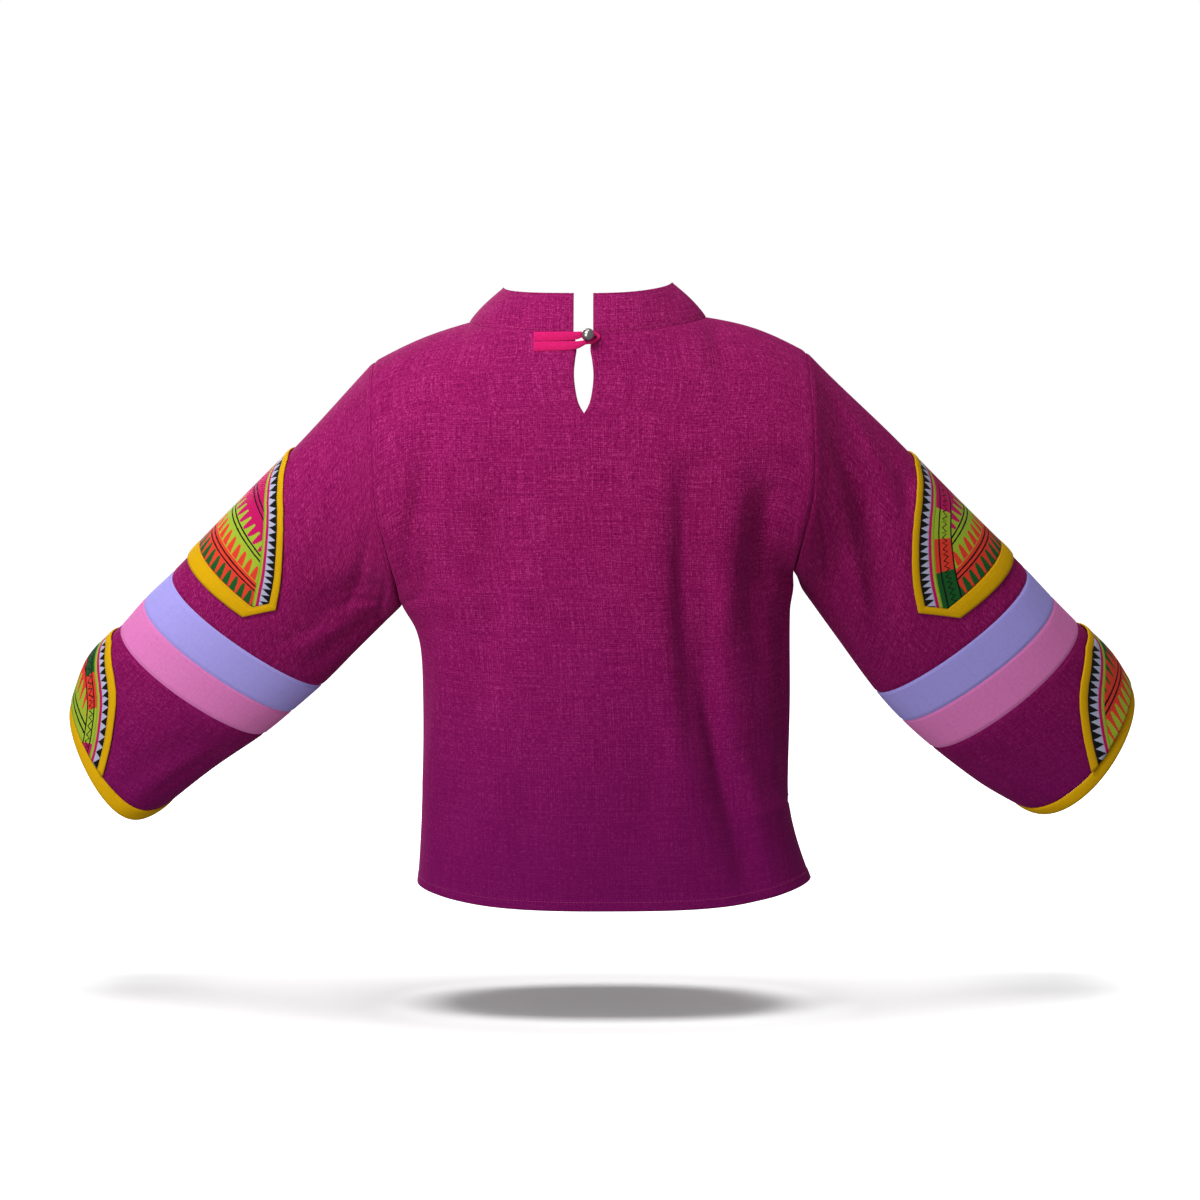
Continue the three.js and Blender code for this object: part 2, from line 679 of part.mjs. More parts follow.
// Folds die away under the stiff patches: nought on a patch and one clear of it
function clearOfPatches(side, start, reach) {
  return [UPPER_PATCH, CUFF_PATCH].reduce((share, patch) => {
    const rows = patch[side];
    const first = rows[0].at;
    const last = rows[rows.length - 1].at;
    const half = follow(rows, "at", clamp(start, first, last), "half");
    const beside = smooth(Math.abs(reach) - half, 0, PATCH_CALM);
    const above = smooth(first - start, 0, PATCH_CALM);
    const below = smooth(start - last - patch.bow, 0, PATCH_CALM);
    return share * Math.max(beside, above, below);
  }, 1);
}

function sleevePlace(side, start, round) {
  const { folds, rings } = SLEEVES[side];
  const cuff = rings[rings.length - 1].along;
  const { half } = halfRing(side, Math.max(start, FIRST_RING));
  let depth = 0;
  for (const fold of folds) {
    const share = (start - fold.from) / (fold.to - fold.from);
    if (share > 0 && share < 1) {
      const off = (round - lerp(fold.fromShare, fold.toShare, share)) * half;
      depth += fold.depth * Math.sin(share * Math.PI) ** 0.8 * Math.exp(-((off / fold.width) ** 2));
    }
  }
  const place = sleeveForm(side, start, round);
  if (depth !== 0) {
    const inside = clamp(start, 1, cuff - 1);
    const facing = side === "left" ? 1 : -1;
    const normal = normalOf((a, b) => sleeveForm(side, a * 100, b), inside / 100, round, facing);
    const calm = smooth(start, 0, 50) * clearOfPatches(side, start, round * half);
    place.addScaledVector(normal, -depth * calm);
  }
  return place;
}

// The pieces of a sleeve, each between two rings, closed along the lower line
function sleevePiece(side, name, material, rows) {
  return makeSheet(`${name}_${side}`, material, [{
    columns: rows,
    rows: steps(4 * STEPS.quarter, -1, 1),
    flip: side === "right",
    place: (start, round) => sleevePlace(side, start, round === -1 ? 1 : round),
  }]);
}

// The outline of the field inside a patch's binding: each slanted side moves in by the edge
function innerRows(rows, foot) {
  const lines = rows.slice(1).map((row, i) => {
    const slope = (row.half - rows[i].half) / (row.at - rows[i].at);
    return { slope, base: rows[i].half - slope * rows[i].at - PATCH_EDGE * Math.hypot(1, slope) };
  });
  const starts = [rows[0].at + PATCH_EDGE];
  for (let i = 1; i < lines.length; i += 1) {
    starts.push((lines[i].base - lines[i - 1].base) / (lines[i - 1].slope - lines[i].slope));
  }
  starts.push(rows[rows.length - 1].at - foot);
  return starts.map((at, i) => {
    const line = lines[Math.min(i, lines.length - 1)];
    return { at, half: Math.max(line.slope * at + line.base, 1) };
  });
}

// A place on the sleeve in a patch's sizes
function patchPlace(side, patch, at, round) {
  const rows = patch[side];
  const first = rows[0].at;
  const last = rows[rows.length - 1];
  const sag = patch.bow * ((at - first) / (last.at - first)) * (1 - (round / last.half) ** 2);
  const start = at + Math.max(sag, 0);
  return sleevePlace(side, start, round / halfRing(side, start).half);
}

const stepsFor = (length, step) => Math.max(1, Math.round(length / step));

// The embroidered field of a patch
function patchField(side, name, patch) {
  const inner = innerRows(patch[side], patch.foot);
  const count = inner.length;
  const starts = inner.slice(1).flatMap((row, i) =>
    steps(stepsFor(row.at - inner[i].at, PATCH_ROW), inner[i].at, row.at).slice(i === 0 ? 0 : 1));
  const widest = Math.max(...inner.map((row) => row.half));
  const halfAt = (at) => {
    const i = Math.min(inner.findIndex((row) => row.at >= at - 0.001), count - 1);
    const [from, to] = [inner[Math.max(i - 1, 0)], inner[Math.max(i, 1)]];
    return lerp(from.half, to.half, (at - from.at) / (to.at - from.at));
  };
  return makeSheet(`${name}_${side}`, STITCHED, [{
    columns: starts,
    rows: steps(2 * stepsFor(widest, patch.step), -1, 1),
    flip: side === "right",
    place: (at, share) => patchPlace(side, patch, at, share * halfAt(at)),
  }], patch.lift[side]);
}

// The binding round a patch, open at the foot where the cuff binding closes it
function patchBinding(side, name, patch) {
  const walk = (table) => [
    ...[...table].reverse().map(({ at, half }) => [at, -half]),
    ...table.map(({ at, half }) => [at, half]),
  ];
  const outer = walk(patch[side]);
  const inner = walk(innerRows(patch[side], patch.foot));
  if (patch.foot > 0) {
    outer.push(outer[0]);
    inner.push(inner[0]);
  }
  const stops = outer.slice(1).flatMap(([at, round], i) => {
    const length = Math.hypot(at - outer[i][0], round - outer[i][1]);
    return steps(stepsFor(length, patch.step), i, i + 1).slice(i === 0 ? 0 : 1);
  });
  const between = (corners, stop) => {
    const i = Math.min(Math.floor(stop), corners.length - 2);
    return [0, 1].map((axis) => lerp(corners[i][axis], corners[i + 1][axis], stop - i));
  };
  return makeSheet(`${name}_${side}`, YELLOW, [{
    columns: stops,
    rows: [0, 1],
    flip: side === "left",
    place: (stop, inward) => {
      const from = between(outer, stop);
      const to = between(inner, stop);
      return patchPlace(side, patch, lerp(from[0], to[0], inward), lerp(from[1], to[1], inward));
    },
  }], patch.lift[side]);
}

// The place on the back at a given x and z, found by stepping towards it
function backAt(x, z) {
  let across = x / 200;
  let height = 2.8;
  let place = panelPlace(BACK, across, height);
  for (let i = 0; i < 80; i += 1) {
    across += (x - place.x) / 300;
    height = clamp(height + (z - place.z) / 200, 2, 3);
    place = panelPlace(BACK, across, height);
  }
  return place;
}

// The loop: a flat fabric tube, doubled, sewn down at its ends and free round the button's shank
function loopSheet() {
  const path = (run) => new THREE.Vector2(
    follow(LOOP_PATH, "run", run, "x"), follow(LOOP_PATH, "run", run, "z"),
  );
  const last = LOOP_PATH.length - 1;
  return makeSheet("button_loop", HOT_PINK, [{
    columns: steps(LOOP_STEPS, 0, last),
    rows: [-0.5, 0, 0.5],
    flip: true,
    place: (run, share) => {
      const centre = path(run);
      const ahead = path(Math.min(run + 0.01, last)).sub(path(Math.max(run - 0.01, 0))).normalize();
      const width = follow(LOOP_PATH, "run", run, "width") * share;
      const x = centre.x - ahead.y * width;
      const z = centre.y + ahead.x * width;
      const place = backAt(x, z);
      return new THREE.Vector3(x, place.y + LOOP_LIFT, z);
    },
  }]);
}

// The button: a polished ball on a short shank, turned in one piece about its own axis
function buttonMesh() {
  const foot = backAt(SHANK_FOOT.x, SHANK_FOOT.z);
  const radius = BUTTON_DIAMETER / 2;
  const shank = SHANK_DIAMETER / 2;
  foot.y += CLOTH / 2 + SHANK_CLEARANCE;
  const ball = backAt(BUTTON_AT.x, BUTTON_AT.z);
  ball.y += LOOP_LIFT + LOOP_THICKNESS + BUTTON_CLEARANCE + radius;
  const axis = ball.clone().sub(foot);
  const length = axis.length();
  const profile = [new THREE.Vector2(0, 0), new THREE.Vector2(shank, 0)];
  const open = Math.asin(shank / radius);
  for (let i = 0; i <= STEPS.buttonArc; i += 1) {
    const turn = lerp(open, Math.PI, i / STEPS.buttonArc);
    const x = i < STEPS.buttonArc ? radius * Math.sin(turn) : 0;
    profile.push(new THREE.Vector2(x, length - radius * Math.cos(turn)));
  }
  const mesh = new THREE.Mesh(new THREE.LatheGeometry(profile, STEPS.buttonRound), STEEL);
  mesh.name = "button";
  mesh.position.copy(foot);
  mesh.quaternion.setFromUnitVectors(new THREE.Vector3(0, 1, 0), axis.normalize());
  return mesh;
}

function addSheet(group, sheet, low, high) {
  const mesh = new THREE.Mesh(wallOf(sheet, low, high), sheet.material);
  mesh.name = sheet.name;
  group.add(mesh);
}

const sewn = [backPanel, frontPanel, collar];
const laid = [];
for (const side of ["left", "right"]) {
  const starts = SLEEVES[side].rings.map((ring) => ring.along);
  const [, , upperEnd, bandSeam, lowerStart] = starts;
  const cuff = starts[starts.length - 1];
  const bound = cuff - CUFF_BINDING;
  sewn.push(
    sleevePiece(side, "sleeve_upper", HEMP, [
      ...steps(STEPS.upperSleeve, 0, FIRST_RING),
      ...steps(STEPS.upperSleeve, FIRST_RING, upperEnd).slice(1),
    ]),
    sleevePiece(side, "lilac_band", LILAC, steps(STEPS.band, upperEnd, bandSeam)),
    sleevePiece(side, "pink_band", PINK, steps(STEPS.band, bandSeam, lowerStart)),
    sleevePiece(side, "sleeve_lower", HEMP, steps(STEPS.lowerSleeve, lowerStart, bound)),
    sleevePiece(side, "cuff_binding", YELLOW, [bound, cuff]),
  );
  laid.push(
    patchField(side, "upper_patch", UPPER_PATCH),
    patchBinding(side, "upper_patch_binding", UPPER_PATCH),
    patchField(side, "cuff_patch", CUFF_PATCH),
    patchBinding(side, "cuff_patch_binding", CUFF_PATCH),
  );
}
const loop = loopSheet();
for (const sheet of [...sewn, ...laid, loop]) {
  finishSheet(sheet);
}
sew(sewn);
for (const sheet of sewn) {
  trimBorder(sheet, SEAM_GAP);
}
for (const sheet of laid) {
  trimBorder(sheet, PATCH_GAP);
}

const garment = new THREE.Group();
for (const sheet of sewn) {
  const wall = sheet.material === YELLOW ? BINDING_CLOTH : CLOTH;
  addSheet(garment, sheet, -wall / 2, wall / 2);
}
for (const sheet of laid) {
  const low = CLOTH / 2 + sheet.lift;
  addSheet(garment, sheet, low, low + (sheet.material === YELLOW ? BINDING_CLOTH : PATCH_CLOTH));
}
addSheet(garment, loop, 0, LOOP_THICKNESS);
garment.add(buttonMesh());

export default garment;
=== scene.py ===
"""Looks of the embroidered hemp top: cloth, seams, stitches, embroidery, light and camera."""
import logging
import math
from collections.abc import Callable, Iterable, Mapping, Sequence
from dataclasses import dataclass, field
from enum import Enum
from typing import Any

import bmesh
import bpy
import numpy as np
from mathutils import Matrix, Vector


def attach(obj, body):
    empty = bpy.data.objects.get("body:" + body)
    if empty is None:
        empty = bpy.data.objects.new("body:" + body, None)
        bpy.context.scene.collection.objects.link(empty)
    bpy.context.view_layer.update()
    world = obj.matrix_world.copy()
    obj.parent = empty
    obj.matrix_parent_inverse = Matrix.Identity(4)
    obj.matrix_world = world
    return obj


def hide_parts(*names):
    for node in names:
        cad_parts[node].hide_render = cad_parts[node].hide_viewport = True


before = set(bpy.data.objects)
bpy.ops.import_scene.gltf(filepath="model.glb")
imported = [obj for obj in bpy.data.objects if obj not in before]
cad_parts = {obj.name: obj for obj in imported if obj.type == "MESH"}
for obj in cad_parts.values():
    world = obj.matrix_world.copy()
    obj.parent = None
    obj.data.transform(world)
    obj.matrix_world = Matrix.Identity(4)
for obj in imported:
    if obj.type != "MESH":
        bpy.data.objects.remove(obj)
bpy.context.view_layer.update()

Array = np.ndarray
Rows = Sequence[Sequence[float]]
Colour = tuple[float, float, float]
LOG = logging.getLogger("hemp_top")
MM = 0.001
QUARTER = math.pi / 2


class Side(Enum):
    """The wearer's two sides."""

    LEFT = "left"
    RIGHT = "right"

    @property
    def sign(self) -> int:
        """1 on the wearer's left, which is +X, and -1 on the right."""
        return 1 if self is Side.LEFT else -1


class Weave(Enum):
    """How coarse a cloth is woven: the pitch of its threads, in mm."""

    HEMP = 0.95
    BAND = 0.8
    BINDING = 0.55


# Sizes, in mm as in the model
BLADE_LEVEL = -138.0
BODY_ROUNDNESS = 2.4
SLIT_TOP = 0.27
ARMHOLE_REACH = 76.0
ARMPIT = {Side.LEFT: -265.0, Side.RIGHT: -233.0}
HEM_SIDE = {Side.LEFT: -529.0, Side.RIGHT: -525.0}
HEM_MIDDLE = -543.0
NECK_SHARE = 0.56
NECK_POINT = {Side.LEFT: (116.0, 1.0), Side.RIGHT: (-108.0, 6.0)}
SHOULDER_TIP = {Side.LEFT: (206.0, -36.0), Side.RIGHT: (-203.0, -27.0)}
SHOULDER_CROWN = {Side.LEFT: 3.5, Side.RIGHT: 5.5}
FLARE_POWER = 1.5
SIDE_DROP = 3
CENTRE_LINE = ((-545, -14), (-356, -9), (-190, 5), (-90, 6.5), (10, 7.7))
SIDE_LINE = {
    Side.LEFT: (
        (-530, 162), (-446, 161), (-356, 160.5), (-309, 162), (-288, 167), (-265, 180),
        (-245, 184), (-215, 191), (-170, 200), (-120, 203), (-36, 206),
    ),
    Side.RIGHT: (
        (-530, -187), (-446, -186), (-356, -188), (-270, -188), (-250, -191), (-233, -191),
        (-200, -197), (-160, -205), (-110, -206), (-60, -204), (-27, -203),
    ),
}
KEYHOLE = ((0, 17.8), (14, 12.4), (25, 15.4), (39, 17.6), (56, 14), (67, 8), (73, 0))
KEYHOLE_FADE = 0.3
COLLAR_RISE = (38.0, 33.0, 39.0)
COLLAR_LEAN = (22.0, 33.0, 17.0)
COLLAR_BULGE = 1.5
ARM_SLOPE = math.pi / 4
ARM_FORWARD = 0.24
ARM_FORWARD_START = 40.0
FIRST_RING = 120.0
CUFF_BINDING = 8.0
SIDE_ROWS = (0.004, 0.01, 0.018, 0.026, 0.032, 0.038, 0.046)
HEM_ROWS = (0.0035, 0.0105, 0.021, 0.028, 0.032, 0.036, 0.043)
BAND_ROWS = (0.6, 1.5, 2.6, 4.2)
HEM_STITCHES = 7.8
SLIT_STITCHES = 5.9
KEYHOLE_STITCHES = 3.9
COLLAR_STITCHES = 3.4
BAND_STITCHES = 3.0
PATCH_CALM = 26.0
PATCH_EDGE = 7.6
CLOTH = 1.0
COLLAR_CLOTH = 1.6
BINDING_CLOTH = 1.4
PATCH_BINDING_CLOTH = 1.2

# Flat cuts of the cloth, width by length, and how much of that a shaped cut keeps
BACK_CUT = (500, 560)
BACK_KEPT = 0.86
FRONT_CUT = (520, 560)
FRONT_KEPT = 0.8
COLLAR_CUT = (600, 46)
UPPER_SLEEVE_CUT = (470, 270)
LILAC_BAND_CUT = (460, 39)
PINK_BAND_CUT = (450, 39)
LOWER_SLEEVE_CUT = (430, 110)
CUFF_BINDING_CUT = (400, 10.5)
LEAST_WIDTH = 10.2


def blend(low: Any, high: Any, share: Any) -> Any:
    """Returns the value `share` of the way from low to high."""
    return low + (high - low) * share


def smooth(value: Any, low: float, high: float) -> Any:
    """Smooth step of a value between two limits.

    Args:
        value: One number or an array.
        low: Where the step starts.
        high: Where it ends.

    Returns:
        Nought below low, one above high, and a smooth rise between.
    """
    share = np.clip((value - low) / (high - low), 0.0, 1.0)
    return share * share * (3 - 2 * share)


def curve(share: Array, start: Array, leave: Array, end: Array, arrive: Array) -> Array:
    """A smooth curve between two values.

    Args:
        share: How far along it to read.
        start: The first value.
        leave: How fast the curve leaves it.
        end: The last value.
        arrive: How fast the curve arrives there.

    Returns:
        The value at each share.
    """
    square = share * share
    cube = square * share
    return (
        (2 * cube - 3 * square + 1) * start
        + (cube - 2 * square + share) * leave
        + (3 * square - 2 * cube) * end
        + (cube - square) * arrive
    )


def follow(rows: Rows, at: Any, column: int = 1) -> Array:
    """A smooth curve through a table.

    Args:
        rows: The table; its first column is the key and rises.
        at: The keys to read.
        column: The column to read.

    Returns:
        The column's values at those keys.
    """
    table = np.asarray(rows, dtype=float)
    keys, values = table[:, 0], table[:, column]
    at = np.asarray(at, dtype=float)
    start = np.searchsorted(keys[1:-1], at, side="left")
    end = start + 1
    before = np.maximum(start - 1, 0)
    after = np.minimum(start + 2, len(keys) - 1)
    span = keys[end] - keys[start]
    share = np.clip((at - keys[start]) / span, 0.0, 1.0)
    leave = (values[end] - values[before]) / (keys[end] - keys[before]) * span
    arrive = (values[after] - values[start]) / (keys[after] - keys[start]) * span
    return curve(share, values[start], leave, values[end], arrive)


def unit(vectors: Array) -> Array:
    """Returns the vectors scaled to length one."""
    length = np.linalg.norm(vectors, axis=-1, keepdims=True)
    return vectors / np.maximum(length, 1e-9)


def surface_normals(
    place: Callable[[Array, Array], Array], first: Array, second: Array, reach: Sequence[float]
) -> Array:
    """Normals of a surface given by a function of two parameters.

    Args:
        place: The surface.
        first: First parameters.
        second: Second parameters.
        reach: How far to step each way in each parameter.

    Returns:
        Unit normals, first direction crossed with second.
    """
    along = place(first + reach[0], second) - place(first - reach[0], second)
    aside = place(first, second + reach[1]) - place(first, second - reach[1])
    return unit(np.cross(along, aside))


@dataclass(frozen=True)
class Fold:
    """A soft trough, or a ridge where the depth is below zero, across a panel.

    Its middle runs from (top, start) past a middle point to (end, finish), as x and z.
    """

    start: float
    finish: float
    top: float
    middle: float
    end: float
    width: float
    depth: float

    def depth_at(self, x: Array, z: Array) -> Array:
        """Depth of the fold.

        Args:
            x: Places across the panel.
            z: Their heights.

        Returns:
            The depth at each place.
        """
        share = np.clip((self.start - z) / (self.start - self.finish), 0.0, 1.0)
        early = blend(self.top, self.middle, share)
        late = blend(self.middle, self.end, share)
        middle = blend(early, late, share)
        fade = np.sin(share * math.pi) ** 0.7
        return self.depth * fade * np.exp(-(((x - middle) / self.width) ** 2))


@dataclass(frozen=True)
class BodyPanel:
    """The form of the back or the front, before its cloth is drawn."""

    facing: int
    neck_depth: float
    neck_drop: float
    level_dip: float
    standoff: Rows
    slit_spread: Mapping[Side, tuple[float, float]]
    folds: Sequence[Fold]
    creases: Sequence[Fold] = ()

    def edge(self, side: Side, height: Array) -> tuple[Array, Array, Array]:
        """The side edge of the panel.

        Args:
            side: The wearer's side.
            height: 0 at the hem, 1 at the armpit, 2 at the blades and 3 at the shoulder tip.

        Returns:
            Its x, how far it stands off the middle, and its z.
        """
        tip = SHOULDER_TIP[side][1]
        spread = self.slit_spread[side]
        opening = np.maximum(0.0, (SLIT_TOP - height) / SLIT_TOP) ** FLARE_POWER
        low_z = blend(HEM_SIDE[side], ARMPIT[side], height)
        turn = np.where(height <= 2, height - 1, height - 2) * QUARTER
        middle_z = BLADE_LEVEL - (BLADE_LEVEL - ARMPIT[side]) * np.cos(turn)
        high_z = BLADE_LEVEL + (tip - BLADE_LEVEL) * np.sin(turn)
        z = np.where(height <= 1, low_z, np.where(height <= 2, middle_z, high_z))
        reach = ARMHOLE_REACH * np.where(height <= 2, np.sin(turn), np.cos(turn))
        y = np.where(height <= 1, spread[1] * opening, reach)
        x = follow(SIDE_LINE[side], z) + np.where(height <= 1, side.sign * spread[0] * opening, 0.0)
        return x, y, z

    def top(self, across: Array, side: Side) -> tuple[Array, Array, Array]:
        """The top edge of one half of the panel: the neckline, then the shoulder seam.

        Args:
            across: Shares from the middle (0) to the side (1 or -1).
            side: The half.

        Returns:
            Its x, standoff and z.
        """
        share = np.abs(across)
        neck, tip = NECK_POINT[side], SHOULDER_TIP[side]
        centre = float(follow(CENTRE_LINE, 0.0))
        turn = np.minimum(share / NECK_SHARE, 1.0) * QUARTER
        cosine = np.maximum(np.cos(turn), 0.0)
        out = np.clip((share - NECK_SHARE) / (1 - NECK_SHARE), 0.0, 1.0)
        crown = SHOULDER_CROWN[side] * np.sin(out * math.pi)
        near = share <= NECK_SHARE
        x = np.where(near, blend(centre, neck[0], np.sin(turn)), blend(neck[0], tip[0], out))
        y = np.where(near, self.neck_depth * cosine, 0.0)
        neck_z = neck[1] * np.sin(turn) ** 2 - self.neck_drop * cosine**1.2
        z = np.where(near, neck_z, blend(neck[1], tip[1], out) + crown)
        return x, y, z

    def half_form(self, across: Array, height: Array, side: Side) -> Array:
        """One half of the smooth panel.

        Args:
            across: Shares from the middle to the side.
            height: Height shares, 0 to 3.
            side: The half.

        Returns:
            Places, in mm.
        """
        share = np.abs(across)
        level = np.minimum(height, 2.0)
        edge_x, edge_y, edge_z = self.edge(side, level)
        middle_low = (ARMPIT[Side.LEFT] + ARMPIT[Side.RIGHT]) / 2
        middle = np.where(
            height <= 1,
            blend(HEM_MIDDLE, middle_low, level),
            blend(middle_low, BLADE_LEVEL + self.level_dip, level - 1),
        )
        z = blend(middle, edge_z, np.sin(share * QUARTER) ** SIDE_DROP)
        standoff = follow(self.standoff, z)
        centre = follow(CENTRE_LINE, z)
        power = 2 / BODY_ROUNDNESS
        limit = np.arccos(np.clip(edge_y / standoff, 0.0, 1.0) ** (1 / power))
        turn = share * limit
        full = np.sin(limit) ** power
        x = blend(centre, edge_x, np.sin(turn) ** power / full)
        y = standoff * np.maximum(np.cos(turn), 0.0) ** power
        top_x, top_y, top_z = self.top(across, side)
        rise = np.sin(np.maximum(height - 2, 0.0) * QUARTER)
        bend = blend(0.85, 0.5, smooth(share, 0.0, NECK_SHARE))
        rounded = np.maximum(1 - rise * rise, 0.0) ** bend
        high_x = self.edge(side, np.maximum(height, 2.0001))[0]
        offset = high_x - blend(edge_x, SHOULDER_TIP[side][0], rise)
        above = height > 2
        return np.stack(
            [
                np.where(above, blend(x, top_x, rise) + offset * smooth(share, NECK_SHARE, 1.0), x),
                self.facing * np.where(above, blend(top_y, y, rounded), y),
                np.where(above, blend(z, top_z, rise), z),
            ],
            axis=-1,
        )

    def form(self, across: Array, height: Array) -> Array:
        """The smooth panel.

        Args:
            across: Shares, -1 at the wearer's right to 1 at the left.
            height: Height shares, 0 to 3.

        Returns:
            Places, in mm.
        """
        left = self.half_form(across, height, Side.LEFT)
        right = self.half_form(across, height, Side.RIGHT)
        return np.where((across >= 0)[..., None], left, right)

    def outward(self, across: Array, height: Array) -> Array:
        """Outward unit normals of the smooth panel.

        Args:
            across: Shares across.
            height: Height shares.

        Returns:
            The normals.
        """
        inside = np.clip(across, -0.985, 0.985)
        level = np.clip(height, 0.01, 2.985)
        normals = surface_normals(self.form, inside, level, (0.004, 0.004))
        return normals * np.where(normals[..., 1:2] * self.facing < 0, -1.0, 1.0)

    def place(self, across: Array, height: Array) -> Array:
        """The panel with its folds and creases, which die away before every sewn edge.

        Args:
            across: Shares across.
            height: Height shares.

        Returns:
            Places, in mm.
        """
        across, height = np.broadcast_arrays(np.asarray(across, float), np.asarray(height, float))
        form = self.form(across, height)
        share = np.abs(across)
        from_edge = np.where(height < SLIT_TOP, 1.0, smooth(1 - share, 0.0, 0.14))
        from_top = smooth(3 - height, 0.0, 0.5)
        depth = sum(fold.depth_at(form[..., 0], form[..., 2]) for fold in self.folds) * from_edge * from_top
        near_edge = np.where(height < SLIT_TOP, 1.0, smooth(1 - share, 0.0, 0.05))
        nothing = np.zeros(share.shape)
        fine = sum((fold.depth_at(form[..., 0], form[..., 2]) for fold in self.creases), nothing)
        depth = depth + fine * near_edge * smooth(3 - height, 0.0, 0.12)
        return form - self.outward(across, height) * depth[..., None]


BACK = BodyPanel(
    facing=1, neck_depth=85, neck_drop=15, level_dip=0,
    standoff=((-545, 97), (-446, 97), (-356, 98), (-250, 102), (-138, 104), (0, 100)),
    slit_spread={Side.LEFT: (3, 2), Side.RIGHT: (20, 5)},
    folds=(
        Fold(-94, -294, 147, 164, 152, 13, 5),
        Fold(-110, -520, 86, 86, 140, 17, 5),
        Fold(-120, -530, -92, -84, -150, 21, 13),
        Fold(-120, -455, -158, -160, -170, 38, 14),
        Fold(-120, -300, -128, -136, -128, 15, -5),
        Fold(-150, -262, -163, -155, -176, 12, 8),
        Fold(-380, -450, -148, -160, -178, 9, 4),
        Fold(-440, -545, -136, -141, -152, 10, 4),
        Fold(-300, -545, 20, 8, 12, 34, -3),
    ),
    creases=(
        Fold(-104, -300, 150, 158, 151, 4.5, 2.6),
        Fold(-96, -250, 140, 168, 174, 6, 3),
        Fold(-250, -430, 148, 152, 164, 7, 2.4),
        Fold(-130, -420, -84, -78, -96, 8, 4.5),
        Fold(-290, -520, -92, -118, -150, 9, 5),
        Fold(-200, -470, -112, -108, -140, 12, 4),
        Fold(-180, -330, -140, -150, -172, 8, 3.4),
        Fold(-130, -290, 66, 72, 84, 7, 1.4),
        Fold(-330, -500, -52, -64, -44, 16, 2.2),
        Fold(-420, -540, 60, 66, 52, 14, 1.8),
    ),
)
FRONT = BodyPanel(
    facing=-1, neck_depth=98, neck_drop=121, level_dip=-62,
    standoff=((-545, 104), (-446, 108), (-356, 113), (-250, 119), (-138, 108), (0, 98)),
    slit_spread={Side.LEFT: (-2, 2), Side.RIGHT: (-3, 2)},
    folds=(
        Fold(-150, -300, 152, 158, 146, 13, 6),
        Fold(-230, -535, 88, 76, 104, 19, 8),
        Fold(-245, -535, -84, -94, -122, 18, 8),
        Fold(-140, -270, -162, -160, -170, 12, 7),
        Fold(-300, -545, -16, -6, -22, 32, -4),
    ),
)


def keyhole_half(z: Array) -> Array:
    """Half the keyhole's width.

    Args:
        z: Heights.

    Returns:
        Half the width at each height, nought below the keyhole.
    """
    below = -BACK.neck_drop - z
    half = follow(KEYHOLE, below) / 2
    return np.where(below >= KEYHOLE[-1][0] - 0.01, 0.0, half)


def back_place(across: Array, height: Array, sign: int) -> Array:
    """The back, drawn aside round the keyhole.

    Args:
        across: Shares across.
        height: Height shares.
        sign: The half: 1 for the wearer's left.

    Returns:
        Places, in mm.
    """
    place = BACK.place(across, height)
    draw = 1 - smooth(np.abs(across), 0.0, KEYHOLE_FADE)
    place[..., 0] += sign * draw * keyhole_half(place[..., 2])
    return place


def collar_place(side: Side, turn: Array, up: Array) -> Array:
    """The stand collar.

    Args:
        side: The half.
        turn: 0 at the back of the neck, 1 over the shoulder and 2 at the front.
        up: 0 at its seam and 1 at its top edge.

    Returns:
        Places, in mm.
    """
    turn, up = np.broadcast_arrays(np.asarray(turn, float), np.asarray(up, float))
    share = np.where(turn <= 1, turn, 2 - turn)
    across = side.sign * NECK_SHARE * share
    top = np.full(turn.shape, 3.0)
    foot = np.where((turn <= 1)[..., None], back_place(across, top, side.sign), FRONT.place(across, top))
    to_side = np.sin(share * QUARTER) ** 2
    rise = blend(np.where(turn <= 1, COLLAR_RISE[0], COLLAR_RISE[2]), COLLAR_RISE[1], to_side)
    lean = blend(np.where(turn <= 1, COLLAR_LEAN[0], COLLAR_LEAN[2]), COLLAR_LEAN[1], to_side)
    angle = turn * QUARTER
    inward = lean * up - COLLAR_BULGE * np.sin(up * math.pi)
    foot[..., 0] -= side.sign * np.sin(angle) * inward
    foot[..., 1] -= np.cos(angle) * inward
    foot[..., 2] += rise * up
    return foot


@dataclass(frozen=True)
class SleeveFold:
    """A soft trough or ridge down a sleeve, between two places round it."""

    start: float
    start_share: float
    finish: float
    finish_share: float
    width: float
    depth: float

    def depth_at(self, start: Array, round_share: Array, half: Array) -> Array:
        """Depth of the fold.

        Args:
            start: Places down the outer line.
            round_share: Shares round the sleeve, -1 to 1.
            half: Half the girth there.

        Returns:
            The depth at each place.
        """
        share = np.clip((start - self.start) / (self.finish - self.start), 0.0, 1.0)
        off = (round_share - blend(self.start_share, self.finish_share, share)) * half
        return self.depth * np.sin(share * math.pi) ** 0.8 * np.exp(-((off / self.width) ** 2))


@dataclass(frozen=True)
class PatchShape:
    """The outline of a patch in sleeve sizes: rows of (down the outer line, reach round it)."""

    rows: Rows
    foot: float
    bow: float
    lift: float


